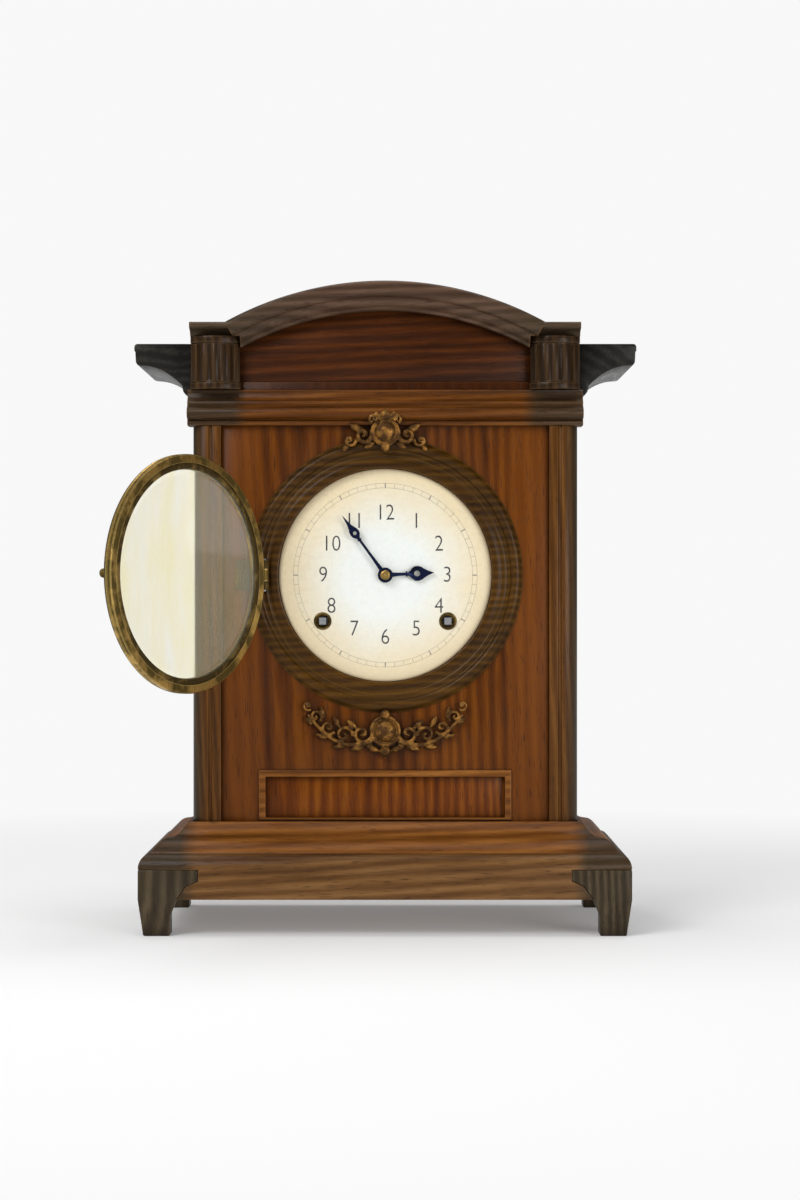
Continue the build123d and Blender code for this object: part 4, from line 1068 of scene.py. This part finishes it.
# the movement keeps the frame's shapes
plainFittings = {
    "movement": ["front_plate", "back_plate", "time_great_wheel", "strike_great_wheel", "second_wheel",
                 "centre_wheel", "third_wheel", "escape_wheel", "cannon_pinion", "minute_wheel",
                 "hour_wheel", "pendulum_bob", "rating_nut", "hammer"],
    "steel": ["plate_pillars", "movement_posts", "time_winding_arbor", "strike_winding_arbor", "verge",
              "pendulum_rod", "door_hinge_pins"],
    "iron": ["gong_stand"],
}


def coilSprings():
    # the frame's own coils, with their near-flat slivers dissolved
    coils = softCopy("mainsprings", "mainspringCoils", 0.05, 1, 60, 4.0)
    finishPiece(coils, "case", "bright_steel", fittings["steel"], "mainsprings")
    gong = softCopy("gong_coil", "gongCoil", 0.3, 2, 60, 3.0)
    finishPiece(gong, "case", "gong_steel", fittings["gong"], "gong_coil")


def dressMovement():
    for finish, nodes in plainFittings.items():
        for name in nodes:
            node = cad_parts[name]
            if len(node.material_slots) == 0:
                node.data.materials.append(fittings[finish])
            for slot in node.material_slots:
                slot.material = fittings[finish]
    button = softCopy("door_button", "doorButton", 0.4)
    finishPiece(button, "door_catch", "bright_steel", fittings["hinge"], "door_button")


coilSprings()
dressMovement()
print("movement dressed")


studio = {
    "camera": (0.009, -1.570, 0.2008), "lens": 75.0,
    "paper": (0.90, 0.90, 0.90, 1.0), "backdrop": 0.94, "dim": 0.22,
    "key": {"at": (-0.95, -1.25, 1.25), "size": 0.9, "power": 20.0},
    "fill": {"at": (1.10, -1.45, 0.30), "size": 0.8, "power": 14.0},
    "top": {"at": (0.0, 0.15, 1.70), "size": 1.2, "power": 16.0},
}


def hangLight(name, look):
    chooseNone()
    bpy.ops.object.light_add(type="AREA", location=look["at"])
    lamp = bpy.context.active_object
    lamp.name = name
    lamp.data.shape = "SQUARE"
    lamp.data.size = look["size"]
    lamp.data.energy = look["power"]
    aim = Vector((0.0, 0.0, 0.19)) - Vector(look["at"])
    lamp.rotation_euler = aim.to_track_quat("-Z", "Y").to_euler()


def layPaper():
    # a wide round sheet that pales into the backdrop
    chooseNone()
    bpy.ops.mesh.primitive_circle_add(vertices=96, radius=0.5, fill_type="NGON", location=(0, 0, 0))
    sheet = bpy.context.active_object
    sheet.name = "studioPaper"
    editWhole(sheet)
    bpy.ops.mesh.inset(thickness=0.2)
    bpy.ops.object.mode_set(mode="OBJECT")
    sheet.scale = (24, 24, 1)
    settle()
    finish, tree, shader, coords = startFinish("studioPaper")
    tooth = noiseOn(tree, coords, 400.0, 3.0, 0.5)
    pale = blendColours(tree, tooth, studio["paper"], tint(246, 246, 247))
    tree.links.new(pale, shader.inputs["Base Color"])
    shader.inputs["Roughness"].default_value = 0.9
    shader.inputs["Specular IOR Level"].default_value = 0.1
    apart = addNode(tree, "VectorMath", {0: coords}, operation="LENGTH").outputs["Value"]
    # painted light: the sheet glows at 0.18 of its mix even under the clock, lifting the shade there, and
    # glows fully beyond 0.85 m
    away = rescale(tree, apart, 0.22, 0.85, 0.18, 1.0)
    glow = addNode(tree, "Emission", {"Color": (1, 1, 1, 1), "Strength": studio["backdrop"]})
    both = addNode(tree, "MixShader", {0: away, 1: shader.outputs[0], 2: glow.outputs[0]})
    out = [node for node in tree.nodes if node.type == "OUTPUT_MATERIAL"][0]
    tree.links.new(both.outputs[0], out.inputs["Surface"])
    sheet.data.materials.append(finish)


def lightRoom():
    room = bpy.data.worlds.new("studioRoom")
    bpy.context.scene.world = room
    room.use_nodes = True
    tree = room.node_tree
    tree.nodes.clear()
    seen = addNode(tree, "LightPath").outputs["Is Camera Ray"]
    through = addNode(tree, "LightPath").outputs["Is Transmission Ray"]
    either = sums(tree, "MAXIMUM", seen, through)
    dim = addNode(tree, "Background", {"Color": (1, 1, 1, 1), "Strength": studio["dim"]})
    bright = addNode(tree, "Background", {"Color": (1, 1, 1, 1), "Strength": studio["backdrop"]})
    both = addNode(tree, "MixShader", {0: either, 1: dim.outputs[0], 2: bright.outputs[0]})
    addNode(tree, "OutputWorld", {"Surface": both.outputs[0]})


def setCamera():
    chooseNone()
    bpy.ops.object.camera_add(location=studio["camera"], rotation=(pi / 2, 0, 0))
    camera = bpy.context.active_object
    camera.data.lens = studio["lens"]
    camera.data.sensor_width = 36.0
    bpy.context.scene.camera = camera
    bpy.context.scene.view_settings.view_transform = "Standard"


for lampName in ("key", "fill", "top"):
    hangLight(lampName + "Light", studio[lampName])
layPaper()
lightRoom()
setCamera()
print("studio set")
